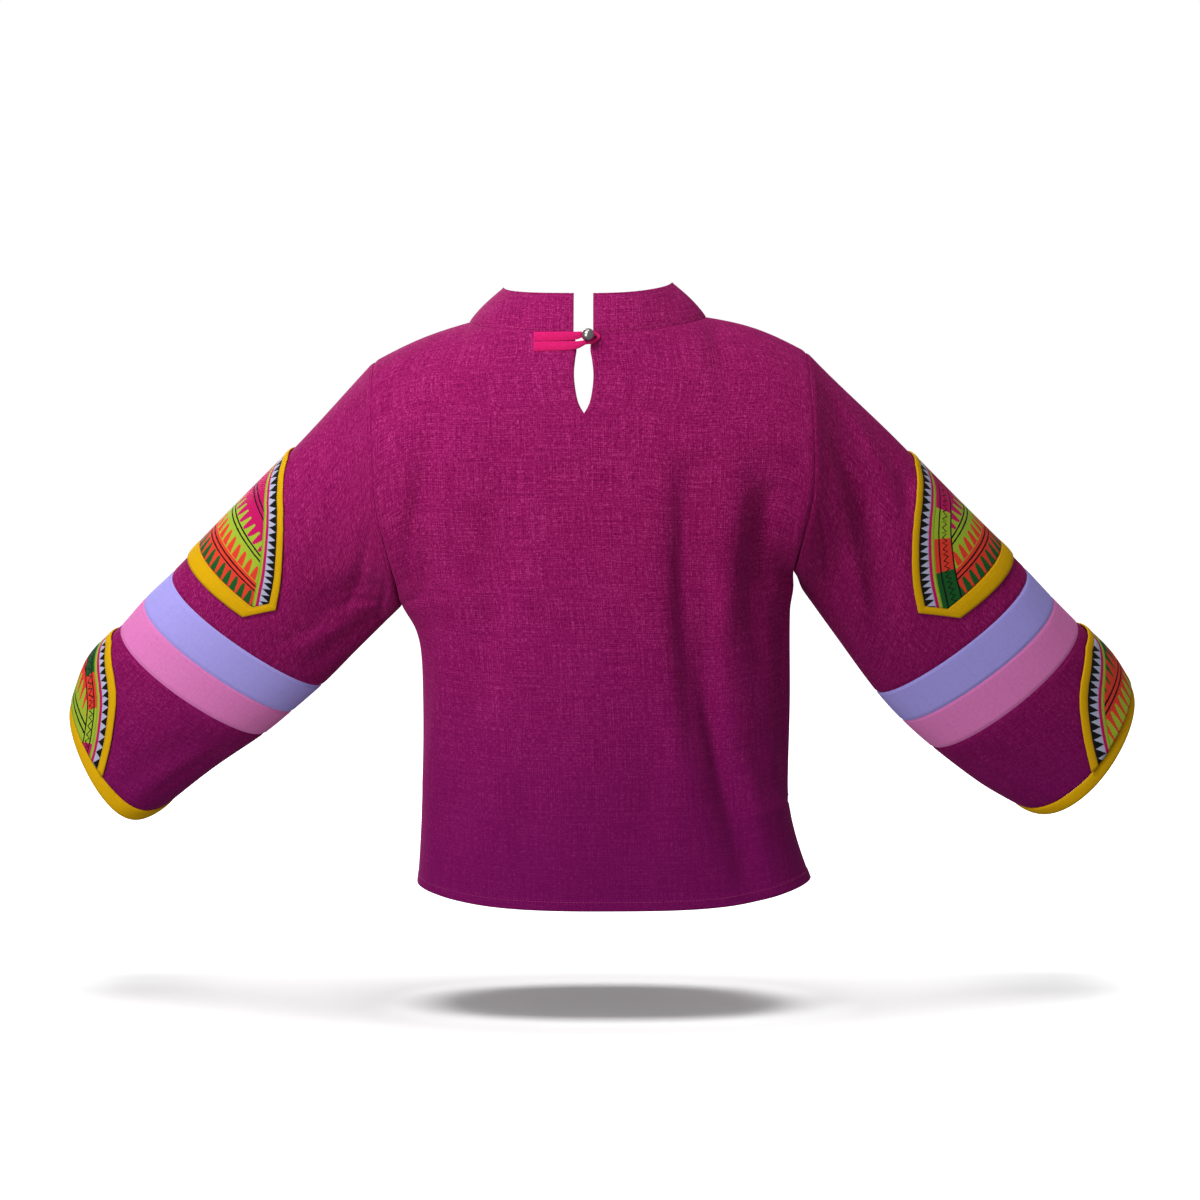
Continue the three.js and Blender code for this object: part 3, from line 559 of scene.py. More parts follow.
@dataclass(frozen=True)
class Arm:
    """The form of one sleeve.

    Its rings are (along, across, low, low across, reach, plump, turn), as in the model.
    """

    side: Side
    rings: Rows
    folds: Sequence[SleeveFold]
    patches: Sequence[PatchShape]
    creases: Sequence[SleeveFold] = ()
    samples: int = 48

    def point(self, along: Array, across: Array, out: Array) -> Array:
        """A point of the arm's frame.

        Args:
            along: Down the arm.
            across: Square to it, downwards.
            out: How far it stands out to the back.

        Returns:
            The place, in mm.
        """
        tip = SHOULDER_TIP[self.side]
        forward = ARM_FORWARD * (along - ARM_FORWARD_START)
        cosine = math.cos(ARM_SLOPE)
        return np.stack(
            np.broadcast_arrays(
                tip[0] + self.side.sign * (along - across) * cosine,
                out - forward,
                tip[1] - (along + across) * cosine,
            ),
            axis=-1,
        )

    def on_ring(self, start: Array, turn: Array) -> Array:
        """A place on the ring that starts at a place down the outer line.

        Args:
            start: Places down the outer line.
            turn: 0 at the outer line, half a circle at the lower line.

        Returns:
            Places, in mm.
        """
        across, low, low_across, reach, plump, tip = (follow(self.rings, start, k) for k in range(1, 7))
        tip = np.radians(tip)
        width = np.hypot(low - start, low_across - across)
        share = (1 - np.cos(turn)) / 2 - plump * np.sin(turn) ** 2
        out = (reach / 2) * np.sin(turn)
        slant = ((low - start) / width, (low_across - across) / width)
        along = start + slant[0] * width * share + slant[1] * out * np.sin(tip)
        aside = across + slant[1] * width * share - slant[0] * out * np.sin(tip)
        place = self.point(along, aside, np.zeros_like(along))
        middle = -ARM_FORWARD * ((start + low) / 2 - ARM_FORWARD_START)
        place[..., 1] = middle + out * np.cos(tip)
        return place

    def girths(self, start: Array) -> Array:
        """Lengths round half a ring.

        Args:
            start: Places down the outer line.

        Returns:
            For each place the length from the outer line to each sample.
        """
        rings, index = np.unique(np.round(start, 2), return_inverse=True)
        turns = np.linspace(0.0, math.pi, self.samples + 1)
        points = self.on_ring(rings[:, None], np.broadcast_to(turns, rings.shape + turns.shape))
        lengths = np.linalg.norm(np.diff(points, axis=-2), axis=-1)
        table = np.concatenate([np.zeros(rings.shape + (1,)), np.cumsum(lengths, axis=-1)], axis=-1)
        return table[index.reshape(np.shape(start))]

    def half(self, start: Array) -> Array:
        """Half the girth at places down the outer line."""
        return self.girths(np.maximum(np.asarray(start, float), FIRST_RING))[..., -1]

    def tube(self, start: Array, round_share: Array) -> Array:
        """The sleeve below its first ring, before its folds.

        Args:
            start: Places down the outer line.
            round_share: Shares round it, -1 in front to 1 behind.

        Returns:
            Places, in mm.
        """
        start, round_share = np.broadcast_arrays(start, round_share)
        lengths = self.girths(start)
        wanted = np.minimum(np.abs(round_share), 1.0) * lengths[..., -1]
        index = np.clip((lengths < wanted[..., None]).sum(axis=-1), 1, self.samples)
        low = np.take_along_axis(lengths, (index - 1)[..., None], -1)[..., 0]
        high = np.take_along_axis(lengths, index[..., None], -1)[..., 0]
        part = (wanted - low) / np.maximum(high - low, 1e-9)
        turn = np.sign(round_share) * (index - 1 + part) / self.samples * math.pi
        return self.on_ring(start, turn)

    def form(self, start: Array, round_share: Array) -> Array:
        """The sleeve before its folds.

        Args:
            start: Places down the outer line.
            round_share: Shares round it.

        Returns:
            Places, in mm.
        """
        start, round_share = np.broadcast_arrays(np.asarray(start, float), np.asarray(round_share, float))
        below = self.tube(np.maximum(start, FIRST_RING), round_share)
        share = (np.minimum(start, FIRST_RING) / FIRST_RING)[..., None]
        height = 3 - 2 * np.minimum(np.abs(round_share), 1.0)
        edge = BACK.edge(self.side, height)
        origin = np.stack([edge[0], np.sign(round_share) * edge[1], edge[2]], axis=-1)
        first = np.full(start.shape, FIRST_RING)
        ring = self.tube(first, round_share)
        arrive = unit(self.tube(first + 1, round_share) - ring)
        distance = np.linalg.norm(ring - origin, axis=-1, keepdims=True)
        leave = np.broadcast_to(
            self.point(np.array(1.0), np.array(0.0), np.array(0.0))
            - self.point(np.array(0.0), np.array(0.0), np.array(0.0)),
            origin.shape,
        ).copy()
        leave[..., 1] -= origin[..., 1] / ARMHOLE_REACH * 0.45
        leave = unit(leave)
        above = curve(share, origin, leave * distance, ring, arrive * distance)
        return np.where((start >= FIRST_RING)[..., None], below, above)

    def calm(self, start: Array, reach: Array) -> Array:
        """How freely the cloth folds: nought on a patch, one clear of all of them.

        Args:
            start: Places down the outer line.
            reach: Distance round from that line.

        Returns:
            The share at each place.
        """
        free = np.ones(start.shape)
        for patch in self.patches:
            first, last = patch.rows[0][0], patch.rows[-1][0]
            half = follow(patch.rows, np.clip(start, first, last))
            beside = smooth(np.abs(reach) - half, 0.0, PATCH_CALM)
            above = smooth(first - start, 0.0, PATCH_CALM)
            below = smooth(start - last - patch.bow, 0.0, PATCH_CALM)
            free = free * np.maximum(np.maximum(beside, above), below)
        return free

    def outward(self, start: Array, round_share: Array) -> Array:
        """Outward unit normals of the smooth sleeve.

        Args:
            start: Places down the outer line.
            round_share: Shares round it.

        Returns:
            The normals.
        """
        inside = np.clip(start, 1.0, self.rings[-1][0] - 1)
        normals = surface_normals(self.form, inside, np.asarray(round_share, float), (0.4, 0.004))
        return normals * self.side.sign

    def place(self, start: Array, round_share: Array, lift: Any = 0.0) -> Array:
        """The sleeve with its folds.

        Args:
            start: Places down the outer line.
            round_share: Shares round it.
            lift: How far to stand off it.

        Returns:
            Places, in mm.
        """
        start, round_share = np.broadcast_arrays(np.asarray(start, float), np.asarray(round_share, float))
        half = self.half(start)
        depth = sum(fold.depth_at(start, round_share, half) for fold in self.folds)
        nothing = np.zeros(start.shape)
        fine = sum((fold.depth_at(start, round_share, half) for fold in self.creases), nothing)
        free = self.calm(start, round_share * half)
        depth = depth * smooth(start, 0.0, 50.0) * free + fine * smooth(start, 0.0, 14.0) * free
        outward = self.outward(start, round_share)
        return self.form(start, round_share) + outward * np.asarray(lift - depth)[..., None]


UPPER = {
    Side.LEFT: PatchShape(
        ((113, 32), (128, 68), (146, 91), (180, 115), (214, 130), (249, 110)), 17, 7, 0.95
    ),
    Side.RIGHT: PatchShape(
        ((137, 34), (151, 70), (169, 95), (201, 120), (233, 136), (269, 110)), 17, 7, 0.95
    ),
}
CUFF = {
    Side.LEFT: PatchShape(((368, 24), (388, 66), (412, 88), (439, 103)), 0, 0, 0.9),
    Side.RIGHT: PatchShape(((384, 34), (400, 72), (422, 98), (448, 119)), 0, 0, 1.95),
}
ARMS = {
    Side.LEFT: Arm(
        side=Side.LEFT,
        rings=(
            (120, 2, 172, 179, 122, 0.08, 14),
            (200, 0, 213, 178.5, 110, 0.1, 15),
            (281, -1, 259, 178, 104, 0.1, 17),
            (320, -3, 299, 175, 102, 0.09, 18),
            (357, -2, 335, 171, 100, 0.06, 19),
            (404, -3, 398, 159, 98, -0.04, 25),
            (448, 15, 471, 150, 98, -0.17, 33),
        ),
        folds=(
            SleeveFold(10, 0.82, 230, 0.66, 17, 5),
            SleeveFold(60, 0.93, 270, 0.84, 14, 5),
            SleeveFold(40, 0.4, 250, 0.5, 22, -3),
            SleeveFold(20, -0.8, 240, -0.62, 18, 5),
            SleeveFold(80, -0.45, 270, -0.55, 20, -3),
            SleeveFold(370, 0.75, 448, 0.62, 16, 3),
        ),
        creases=(
            SleeveFold(8, 0.62, 150, 0.8, 7, 3),
            SleeveFold(30, 0.9, 200, 0.7, 6, 2.6),
            SleeveFold(12, 0.78, 110, 0.95, 5, 2.4),
            SleeveFold(110, 0.86, 262, 0.66, 8, 2.6),
            SleeveFold(366, 0.9, 440, 0.78, 7, 2),
        ),
        patches=(UPPER[Side.LEFT], CUFF[Side.LEFT]),
    ),
    Side.RIGHT: Arm(
        side=Side.RIGHT,
        rings=(
            (120, -4, 164, 160, 122, 0.08, 14),
            (205, -6, 218, 168, 112, 0.1, 15),
            (298, -9, 283, 177, 106, 0.1, 18),
            (337, -9, 321, 178.5, 104, 0.09, 19),
            (374, -10, 362, 176, 102, 0.05, 21),
            (420, -12, 425, 167, 102, -0.02, 28),
            (457, -5, 476, 153, 108, -0.06, 35),
        ),
        folds=(
            SleeveFold(15, 0.3, 240, 0.72, 17, 6),
            SleeveFold(20, 0.5, 250, 0.86, 15, -4),
            SleeveFold(70, 0.18, 230, 0.4, 15, 4),
            SleeveFold(20, -0.78, 250, -0.6, 18, 5),
            SleeveFold(90, -0.4, 270, -0.52, 20, -3),
            SleeveFold(385, 0.8, 457, 0.66, 16, 3),
        ),
        creases=(
            SleeveFold(10, 0.34, 200, 0.7, 8, 4),
            SleeveFold(60, 0.5, 235, 0.8, 7, 3.4),
            SleeveFold(10, 0.6, 150, 0.9, 6, 3),
            SleeveFold(8, 0.2, 130, 0.4, 7, 2.2),
            SleeveFold(384, 0.9, 450, 0.8, 7, 2),
        ),
        patches=(UPPER[Side.RIGHT], CUFF[Side.RIGHT]),
    ),
}


# Shader maths
class Term:
    """One value in a node tree, which is added and multiplied like a number."""

    def __init__(self, graph: "Graph", socket: bpy.types.NodeSocket) -> None:
        """Wraps a socket of a graph."""
        self.graph = graph
        self.socket = socket

    def __add__(self, other: Any) -> "Term":
        """Returns the sum."""
        return self.graph.maths("ADD", self, other)

    __radd__ = __add__

    def __sub__(self, other: Any) -> "Term":
        """Returns the difference."""
        return self.graph.maths("SUBTRACT", self, other)

    def __rsub__(self, other: Any) -> "Term":
        """Returns the difference, other way round."""
        return self.graph.maths("SUBTRACT", other, self)

    def __mul__(self, other: Any) -> "Term":
        """Returns the product."""
        return self.graph.maths("MULTIPLY", self, other)

    __rmul__ = __mul__

    def __truediv__(self, other: Any) -> "Term":
        """Returns the quotient."""
        return self.graph.maths("DIVIDE", self, other)

    def __rtruediv__(self, other: Any) -> "Term":
        """Returns the quotient, other way round."""
        return self.graph.maths("DIVIDE", other, self)

    def __pow__(self, other: Any) -> "Term":
        """Returns the power."""
        return self.graph.maths("POWER", self, other)

    def __abs__(self) -> "Term":
        """Returns the absolute value."""
        return self.graph.maths("ABSOLUTE", self)

    def fraction(self) -> "Term":
        """Returns the fraction."""
        return self.graph.maths("FRACT", self)

    def sine(self) -> "Term":
        """Returns the sine."""
        return self.graph.maths("SINE", self)

    def step(self, low: float, high: float) -> "Term":
        """A smooth step.

        Args:
            low: Where it starts.
            high: Where it ends.

        Returns:
            Nought below low and one above high.
        """
        node = self.graph.node(
            "ShaderNodeMapRange",
            {"interpolation_type": "SMOOTHSTEP"},
            {"Value": self, "From Min": low, "From Max": high},
        )
        return Term(self.graph, node.outputs[0])

    def between(self, low: float, high: float, soft: float = 0.15) -> "Term":
        """A soft band.

        Args:
            low: Where it starts.
            high: Where it ends.
            soft: Width of its soft edges.

        Returns:
            One inside the band and nought outside it.
        """
        return self.step(low - soft, low + soft) * (1 - self.step(high - soft, high + soft))


class Graph:
    """Builds the node tree of one material."""

    def __init__(self, name: str) -> None:
        """Makes the material and clears its tree."""
        self.material = bpy.data.materials.new(name)
        self.material.use_nodes = True
        self.tree = self.material.node_tree
        self.tree.nodes.clear()

    def node(
        self, kind: str, settings: Mapping[str, Any] | None = None, inputs: Mapping[Any, Any] | None = None
    ) -> bpy.types.Node:
        """Makes a node.

        Args:
            kind: Its type.
            settings: Its properties.
            inputs: Values, terms or sockets for its inputs, by name or number.

        Returns:
            The node.
        """
        made = self.tree.nodes.new(kind)
        for name, value in (settings or {}).items():
            setattr(made, name, value)
        for key, value in (inputs or {}).items():
            self.feed(made.inputs[key], value)
        return made

    def feed(self, socket: bpy.types.NodeSocket, value: Any) -> None:
        """Sets or links one input.

        Args:
            socket: The input.
            value: A number, a colour, a term or a socket.
        """
        if isinstance(value, Term):
            value = value.socket
        if isinstance(value, bpy.types.NodeSocket):
            self.tree.links.new(value, socket)
        elif socket.type == "RGBA" and len(value) == 3:
            socket.default_value = (*value, 1.0)
        else:
            socket.default_value = value

    def maths(self, operation: str, *values: Any) -> Term:
        """One maths node.

        Args:
            operation: What it does.
            *values: Its inputs.

        Returns:
            Its result.
        """
        node = self.node("ShaderNodeMath", {"operation": operation}, dict(enumerate(values)))
        return Term(self, node.outputs[0])

    def place(self) -> bpy.types.NodeSocket:
        """Returns the Object coordinates."""
        return self.node("ShaderNodeTexCoord").outputs["Object"]

    def uv(self, name: str) -> tuple[Term, Term]:
        """The two values of a UV map.

        Args:
            name: The map's name.

        Returns:
            Its u and its v.
        """
        node = self.node("ShaderNodeUVMap", {"uv_map": name})
        parts = self.node("ShaderNodeSeparateXYZ", None, {0: node.outputs[0]})
        return Term(self, parts.outputs[0]), Term(self, parts.outputs[1])

    def vector(self, x: Any, y: Any) -> bpy.types.NodeSocket:
        """Returns a flat vector of two values."""
        return self.node("ShaderNodeCombineXYZ", None, {0: x, 1: y}).outputs[0]

    def noise(self, vector: Any, scale: float, detail: float = 2.0, roughness: float = 0.5) -> Term:
        """A noise texture.

        Args:
            vector: Where to read it.
            scale: Its scale.
            detail: Its octaves.
            roughness: How strong the finer octaves are.

        Returns:
            Its value, about 0 to 1.
        """
        node = self.node(
            "ShaderNodeTexNoise", None,
            {"Vector": vector, "Scale": scale, "Detail": detail, "Roughness": roughness},
        )
        return Term(self, node.outputs[0])

    def mix(self, share: Any, low: Any, high: Any) -> Term:
        """Mixes two colours.

        Args:
            share: How much of the second.
            low: The first colour.
            high: The second colour.

        Returns:
            The mixed colour.
        """
        node = self.node(
            "ShaderNodeMix", {"data_type": "RGBA", "clamp_factor": True}, {0: share, 6: low, 7: high}
        )
        return Term(self, node.outputs[2])

    def surface(
        self, constants: Mapping[str, Any], varying: Mapping[str, Any], height: Term | None, depth: float
    ) -> bpy.types.Material:
        """Closes the tree with a Principled shader.

        Args:
            constants: Plain values for its sockets.
            varying: Terms for its sockets.
            height: Height of the surface detail, 0 to 1.
            depth: How deep that detail is, in metres.

        Returns:
            The material.
        """
        shader = self.node("ShaderNodeBsdfPrincipled", None, {**constants, **varying})
        if height is not None:
            bump = self.node("ShaderNodeBump", None, {"Strength": 1.0, "Distance": depth, "Height": height})
            self.tree.links.new(bump.outputs[0], shader.inputs["Normal"])
        output = self.node("ShaderNodeOutputMaterial")
        self.tree.links.new(shader.outputs[0], output.inputs[0])
        return self.material


def srgb(red: float, green: float, blue: float) -> Colour:
    """A colour as shaders use it.

    Args:
        red: Red, 0 to 255.
        green: Green, 0 to 255.
        blue: Blue, 0 to 255.

    Returns:
        The linear colour.
    """
    def linear(value: float) -> float:
        """Returns one channel made linear."""
        share = value / 255
        return share / 12.92 if share <= 0.04045 else ((share + 0.055) / 1.055) ** 2.4

    return linear(red), linear(green), linear(blue)


@dataclass(frozen=True)
class WovenCloth:
    """A plain woven cloth: its colours, the pitch of its threads, how slubby and uneven it is, and painted
    shade in its hollows and towards the hem.
    """

    name: str
    colour: Colour
    light: Colour
    dark: Colour
    weave: Weave
    slub: float = 0.5
    relief: float = 0.00022
    sheen: float = 0.3
    roughness: float = 0.86
    # low: a darker, bluer colour mixed in towards the hem as painted shade, where less light falls.
    low: Colour | None = None
    fleck: float = 1.0

    def build(self) -> bpy.types.Material:
        """Makes the material.

        Returns:
            The material.
        """
        graph = Graph(self.name)
        u, v = graph.uv("cloth")
        pitch = self.weave.value
        wobble = graph.noise(graph.vector(u * 0.02, v * 0.02), 1.0, 3.0)
        warp = ((u + wobble * 1.6) * (math.pi / pitch)).sine()
        weft = ((v + wobble * 1.6) * (math.pi / pitch)).sine()
        over = warp * weft * 0.5 + 0.5
        along = graph.noise(graph.vector(u * 0.024, v * (0.8 / pitch)), 1.0, 2.0, 0.6)
        down = graph.noise(graph.vector(u * (0.8 / pitch), v * 0.024), 1.0, 2.0, 0.6)
        slubs = (along + down) * 0.5
        patchy = graph.noise(graph.vector(u * 0.016, v * 0.016), 1.0, 3.0, 0.55)
        fleck_along = graph.noise(graph.vector(u * 0.24, v * 1.2), 1.0, 2.0, 0.65)
        fleck_down = graph.noise(graph.vector(u * 1.2, v * 0.24), 1.0, 2.0, 0.65)
        fuzz = (fleck_along + fleck_down) * 0.5
        lift = (slubs - 0.5) * (1.5 * self.slub) + (fuzz - 0.5) * self.fleck + (patchy - 0.5) * 0.1 + 0.5
        colour = graph.mix(lift.step(0.16, 0.5), self.dark, self.colour)
        colour = graph.mix(lift.step(0.5, 0.84), colour, self.light)
        # Painted shade: darker where the threads dip under, in the hollows of the weave.
        colour = graph.mix((1 - over) * 0.38, colour, self.dark)
        # Painted shade: below about -0.14 m the colour is mixed towards the low colour, darker and bluer
        # down to the hem, where the light falls off.
        if self.low is not None:
            split = graph.node("ShaderNodeSeparateXYZ", {}, {0: graph.place()})
            hem_painted_shade = 1 - Term(graph, split.outputs["Z"]).step(-0.56, -0.14)
            colour = graph.mix(hem_painted_shade * 0.75, colour, self.low)
        height = over * 0.55 + slubs * self.slub + fuzz * 0.12
        rough = self.roughness + (over - 0.5) * 0.08
        return graph.surface(
            {"Sheen Weight": self.sheen, "Sheen Roughness": 0.5, "Sheen Tint": (*self.light, 1.0),
             "Specular IOR Level": 0.06},
            {"Base Color": colour, "Roughness": rough}, height, self.relief,
        )


@dataclass(frozen=True)
class Thread:
    """Sewing thread: a colour with a fine twist."""

    name: str
    colour: Colour

    def build(self) -> bpy.types.Material:
        """Makes the material.

        Returns:
            The material.
        """
        graph = Graph(self.name)
        place = graph.place()
        twist = graph.noise(place, 2600.0, 1.0)
        shade = graph.noise(place, 60.0, 2.0)
        colour = graph.mix(shade * 0.5, self.colour, tuple(value * 0.6 for value in self.colour))
        return graph.surface(
            {"Sheen Weight": 0.2, "Specular IOR Level": 0.3},
            {"Base Color": colour, "Roughness": 0.62 + twist * 0.2}, twist, 0.0001,
        )


@dataclass(frozen=True)
class PolishedSteel:
    """The ball button: polished steel with faint scratches and a little dullness."""

    name: str = "polished_steel"

    def build(self) -> bpy.types.Material:
        """Makes the material.

        Returns:
            The material.
        """
        graph = Graph(self.name)
        place = graph.place()
        dull = graph.noise(place, 420.0, 4.0)
        scratch = graph.noise(place, 3000.0, 2.0)
        colour = graph.mix(dull, srgb(196, 194, 190), srgb(150, 148, 146))
        return graph.surface(
            {"Metallic": 1.0}, {"Base Color": colour, "Roughness": 0.2 + dull * 0.16}, scratch, 0.00001,
        )


MAGENTA = srgb(214, 4, 104)
LIME = srgb(176, 204, 50)
RED = srgb(250, 66, 44)
GREEN = srgb(14, 98, 34)
BLACK = srgb(9, 7, 10)
LAVENDER = srgb(198, 202, 232)


@dataclass(frozen=True)
class Embroidery:
    """The stitched field of a patch.

    Along its slanted edge run a border of black points on lavender, a magenta and a lime line and, on
    some patches, a column of colour blocks with a zigzag. Rows of flames lie across the rest.
    """

    name: str
    column: float
    blocks: tuple[tuple[float, Colour], ...]
    grounds: tuple[tuple[float, Colour], ...]
    flame_rows: tuple[tuple[float, float, bool, Colour], ...]
    line_rows: tuple[float, ...]
    border: float = 10.5
    point_reach: float = 1.16
    point_pitch: float = 7.1
    flame_pitch: float = 9.0

    def flames(self, across: Term, up: Term, low: float, high: float, down: bool) -> Term:
        """A row of leaning flames.

        Args:
            across: Distance along the row.
            up: Distance above the patch's base.
            low: Foot of the row.
            high: Top of the row.
            down: Whether the flames hang.

        Returns:
            One on a flame.
        """
        rise = (up - low) / (high - low)
        if down:
            rise = 1 - rise
        teeth = abs((up * 0.42).fraction() - 0.5) * 0.16
        share = (across / self.flame_pitch + rise * 0.34).fraction()
        width = (1 - rise) ** 0.45 * 0.35 + teeth
        inside = (width - abs(share - 0.5)).step(-0.025, 0.025)
        return inside * up.between(low, high, 0.2)

    def build(self, tall: float) -> bpy.types.Material:
        """Makes the material.

        Args:
            tall: How high the field stands above its base.

        Returns:
            The material.
        """
        graph = Graph(self.name)
        edge, run = graph.uv("edge")
        across, height_up = graph.uv("field")
        jitter = graph.noise(graph.vector(run * 0.35, edge * 0.35), 1.0, 3.0, 0.6)
        shift = (jitter - 0.5) * 1.3
        up = height_up + shift
        inset = edge + shift * 0.5
        colour: Any = self.grounds[0][1]
        for at, tone in self.grounds[1:]:
            colour = graph.mix(up.step(at - 0.3, at + 0.3), colour, tone)
        for low, high, down, tone in self.flame_rows:
            colour = graph.mix(self.flames(across + shift, up, low, high, down), colour, tone)
        lines = sum((up.between(at, at + 1.6) for at in self.line_rows), start=0.0)
        colour = graph.mix(lines, colour, BLACK)
        start = self.border + 6.4
        if self.column > 0:
            block: Any = self.blocks[0][1]
            for at, tone in self.blocks[1:]:
                block = graph.mix((run + shift).step(at - 0.3, at + 0.3), block, tone)
            colour = graph.mix(inset.between(start, start + self.column), colour, block)
            middle = start + self.column * 0.58
            wave = (abs((run / 6.4).fraction() - 0.5) - 0.25) * 9.5
            zigzag = (0.85 - abs(inset - middle - wave)).step(-0.2, 0.2)
            rails = inset.between(start + self.column * 0.22, start + self.column * 0.22 + 1.6)
            rails = rails + inset.between(start + self.column * 0.92, start + self.column * 0.92 + 1.6)
            colour = graph.mix(zigzag + rails, colour, BLACK)
        below_top = tall - height_up
        for reach_down, tone in ((9.0, LIME), (5.5, MAGENTA), (2.6, LAVENDER)):
            colour = graph.mix(1 - below_top.step(reach_down - 0.2, reach_down + 0.2), colour, tone)
        colour = graph.mix(1 - inset.step(start - 0.2, start + 0.2), colour, LIME)
        colour = graph.mix(inset.between(start - 0.9, start - 0.4) * 0.6, colour, GREEN)
        colour = graph.mix(1 - inset.step(self.border + 2.9, self.border + 3.3), colour, MAGENTA)
        tooth = abs((run / self.point_pitch).fraction() - 0.5) * 2
        reach = self.point_reach * (1 - inset / self.border) + (jitter - 0.5) * 0.3
        points = (reach - tooth).step(-0.08, 0.08)
        strip = graph.mix(points, LAVENDER, BLACK)
        colour = graph.mix(1 - inset.step(self.border - 0.2, self.border + 0.2), colour, strip)
        satin = ((across + height_up * 0.35) * (2 * math.pi / 0.85)).sine() * 0.5 + 0.5
        cloudy = graph.noise(graph.vector(across * 0.12, height_up * 0.12), 1.0, 3.0)
        shade = satin * 0.1 + cloudy * 0.16
        colour = graph.mix(shade, colour, (0.02, 0.015, 0.02))
        ridge = lines.step(0.2, 0.8)
        seams = inset.between(self.border - 0.3, self.border + 0.3, 0.4)
        seams = seams + inset.between(start - 0.3, start + 0.3, 0.4)
        height = satin * 0.2 + ridge * 0.3 + points * 0.2 - seams * 0.5 + jitter * 0.25
        return graph.surface(
            {"Sheen Weight": 0.03, "Specular IOR Level": 0.15},
            {"Base Color": colour, "Roughness": 0.66 + satin * 0.12}, height, 0.0005,
        )


# Charts of the patches: blocks, grounds, rows of flames and double lines, in mm from the base
UPPER_BLOCKS = ((0.0, MAGENTA), (34.0, LIME), (68.0, RED), (104.0, GREEN))
UPPER_ROWS = (
    ((0.0, RED), (25.5, LIME), (64.0, MAGENTA)),
    ((0.5, 15.5, False, GREEN), (26.0, 40.0, False, RED), (51.0, 64.4, True, MAGENTA)),
    (16.4, 20.9, 44.6, 49.0, 74.0, 78.6),
)
EMBROIDERY = {
    ("upper_patch", Side.LEFT): Embroidery("upper_left_embroidery", 0.0, UPPER_BLOCKS, *UPPER_ROWS),
    ("upper_patch", Side.RIGHT): Embroidery("upper_right_embroidery", 20.0, UPPER_BLOCKS, *UPPER_ROWS),
    ("cuff_patch", Side.LEFT): Embroidery(
        "cuff_left_embroidery", 13.0, ((0.0, GREEN), (20.0, RED), (56.0, LIME), (84.0, MAGENTA)),
        ((0.0, LIME), (15.0, RED), (42.0, GREEN)), ((15.0, 28.0, False, LIME),), (5.0, 9.5, 33.0, 37.5),
        border=6.6, point_reach=1.0,
    ),
    ("cuff_patch", Side.RIGHT): Embroidery(
        "cuff_right_embroidery", 0.0, ((0.0, GREEN),), ((0.0, RED), (27.0, GREEN), (56.0, RED)),
        ((0.5, 15.0, False, LIME), (27.0, 41.0, False, RED)), (17.5, 22.0, 49.0, 62.0, 66.5),
    ),
}


# Meshes
def spaced(low: float, high: float, count: int, fine: Sequence[float] = ()) -> Array:
    """Even steps with finer ones near both ends.

    Args:
        low: The first value.
        high: The last value.
        count: The number of even steps.
        fine: Small distances from each end at which a value is added.

    Returns:
        The rising values.
    """
    values = [*np.linspace(low, high, count + 1)]
    values += [low + step for step in fine] + [high - step for step in fine]
    return np.unique(np.round(values, 7))


def arc(points: Array, axis: int) -> Array:
    """Length along one direction of a grid.

    Args:
        points: A grid of places.
        axis: The direction.

    Returns:
        The length to each place from the grid's start.
    """
    lengths = np.linalg.norm(np.diff(points, axis=axis), axis=-1)
    shape = list(lengths.shape)
    shape[axis] = 1
    return np.concatenate([np.zeros(shape), np.cumsum(lengths, axis=axis)], axis=axis)


def grid_normals(points: Array, reverse: bool) -> Array:
    """Unit normals of a grid of places.

    Args:
        points: The grid.
        reverse: Whether to turn them over.

    Returns:
        One normal to each place.
    """
    along = np.gradient(points, axis=0)
    aside = np.gradient(points, axis=1)
    normals = unit(np.cross(along, aside))
    return -normals if reverse else normals


def closed(bm: bmesh.types.BMesh, name: str) -> bpy.types.Mesh:
    """Closes a bmesh.

    Args:
        bm: The bmesh.
        name: The mesh's name.

    Returns:
        Its mesh.
    """
    mesh = bpy.data.meshes.new(name)
    bm.to_mesh(mesh)
    bm.free()
    return mesh


def shown(name: str, data: Any) -> bpy.types.Object:
    """Puts a mesh, a light or a camera into the scene.

    Args:
        name: The object's name.
        data: What it holds.

    Returns:
        The object.
    """
    made = bpy.data.objects.new(name, data)
    bpy.context.scene.collection.objects.link(made)
    return made


def face_point(made: bpy.types.Object, place: Sequence[float], target: Sequence[float]) -> None:
    """Places a light or a camera and turns it towards a point.

    Args:
        made: The light or the camera.
        place: Where it stands.
        target: What it faces.
    """
    made.location = place
    made.rotation_euler = (Vector(target) - Vector(place)).to_track_quat("-Z", "Y").to_euler()


@dataclass
class Builder:
    """Places finished meshes in the scene."""

    stitches: dict[str, int] = field(default_factory=dict)

    def add(
        self, name: str, mesh: bpy.types.Mesh, material: bpy.types.Material, nodes: Iterable[str], slot: str
    ) -> bpy.types.Object:
        """Adds an object that rides on the garment.

        Args:
            name: Its name.
            mesh: Its mesh.
            material: Its finish.
            nodes: The solids that it stands for.
            slot: Not used.

        Returns:
            The object.
        """
        piece = shown(name, mesh)
        mesh.materials.append(material)
        for face in mesh.polygons:
            face.use_smooth = True
        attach(piece, "root")
        for node in nodes:
            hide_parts(node)
        return piece

    def shell(self, piece: bpy.types.Object, thickness: float) -> None:
        """Gives a sheet its thickness.

        Args:
            piece: The sheet.
            thickness: Its thickness, in mm.
        """
        modifier = piece.modifiers.new("thickness", "SOLIDIFY")
        modifier.thickness = thickness * MM
        modifier.offset = 0.0
        modifier.use_even_offset = False


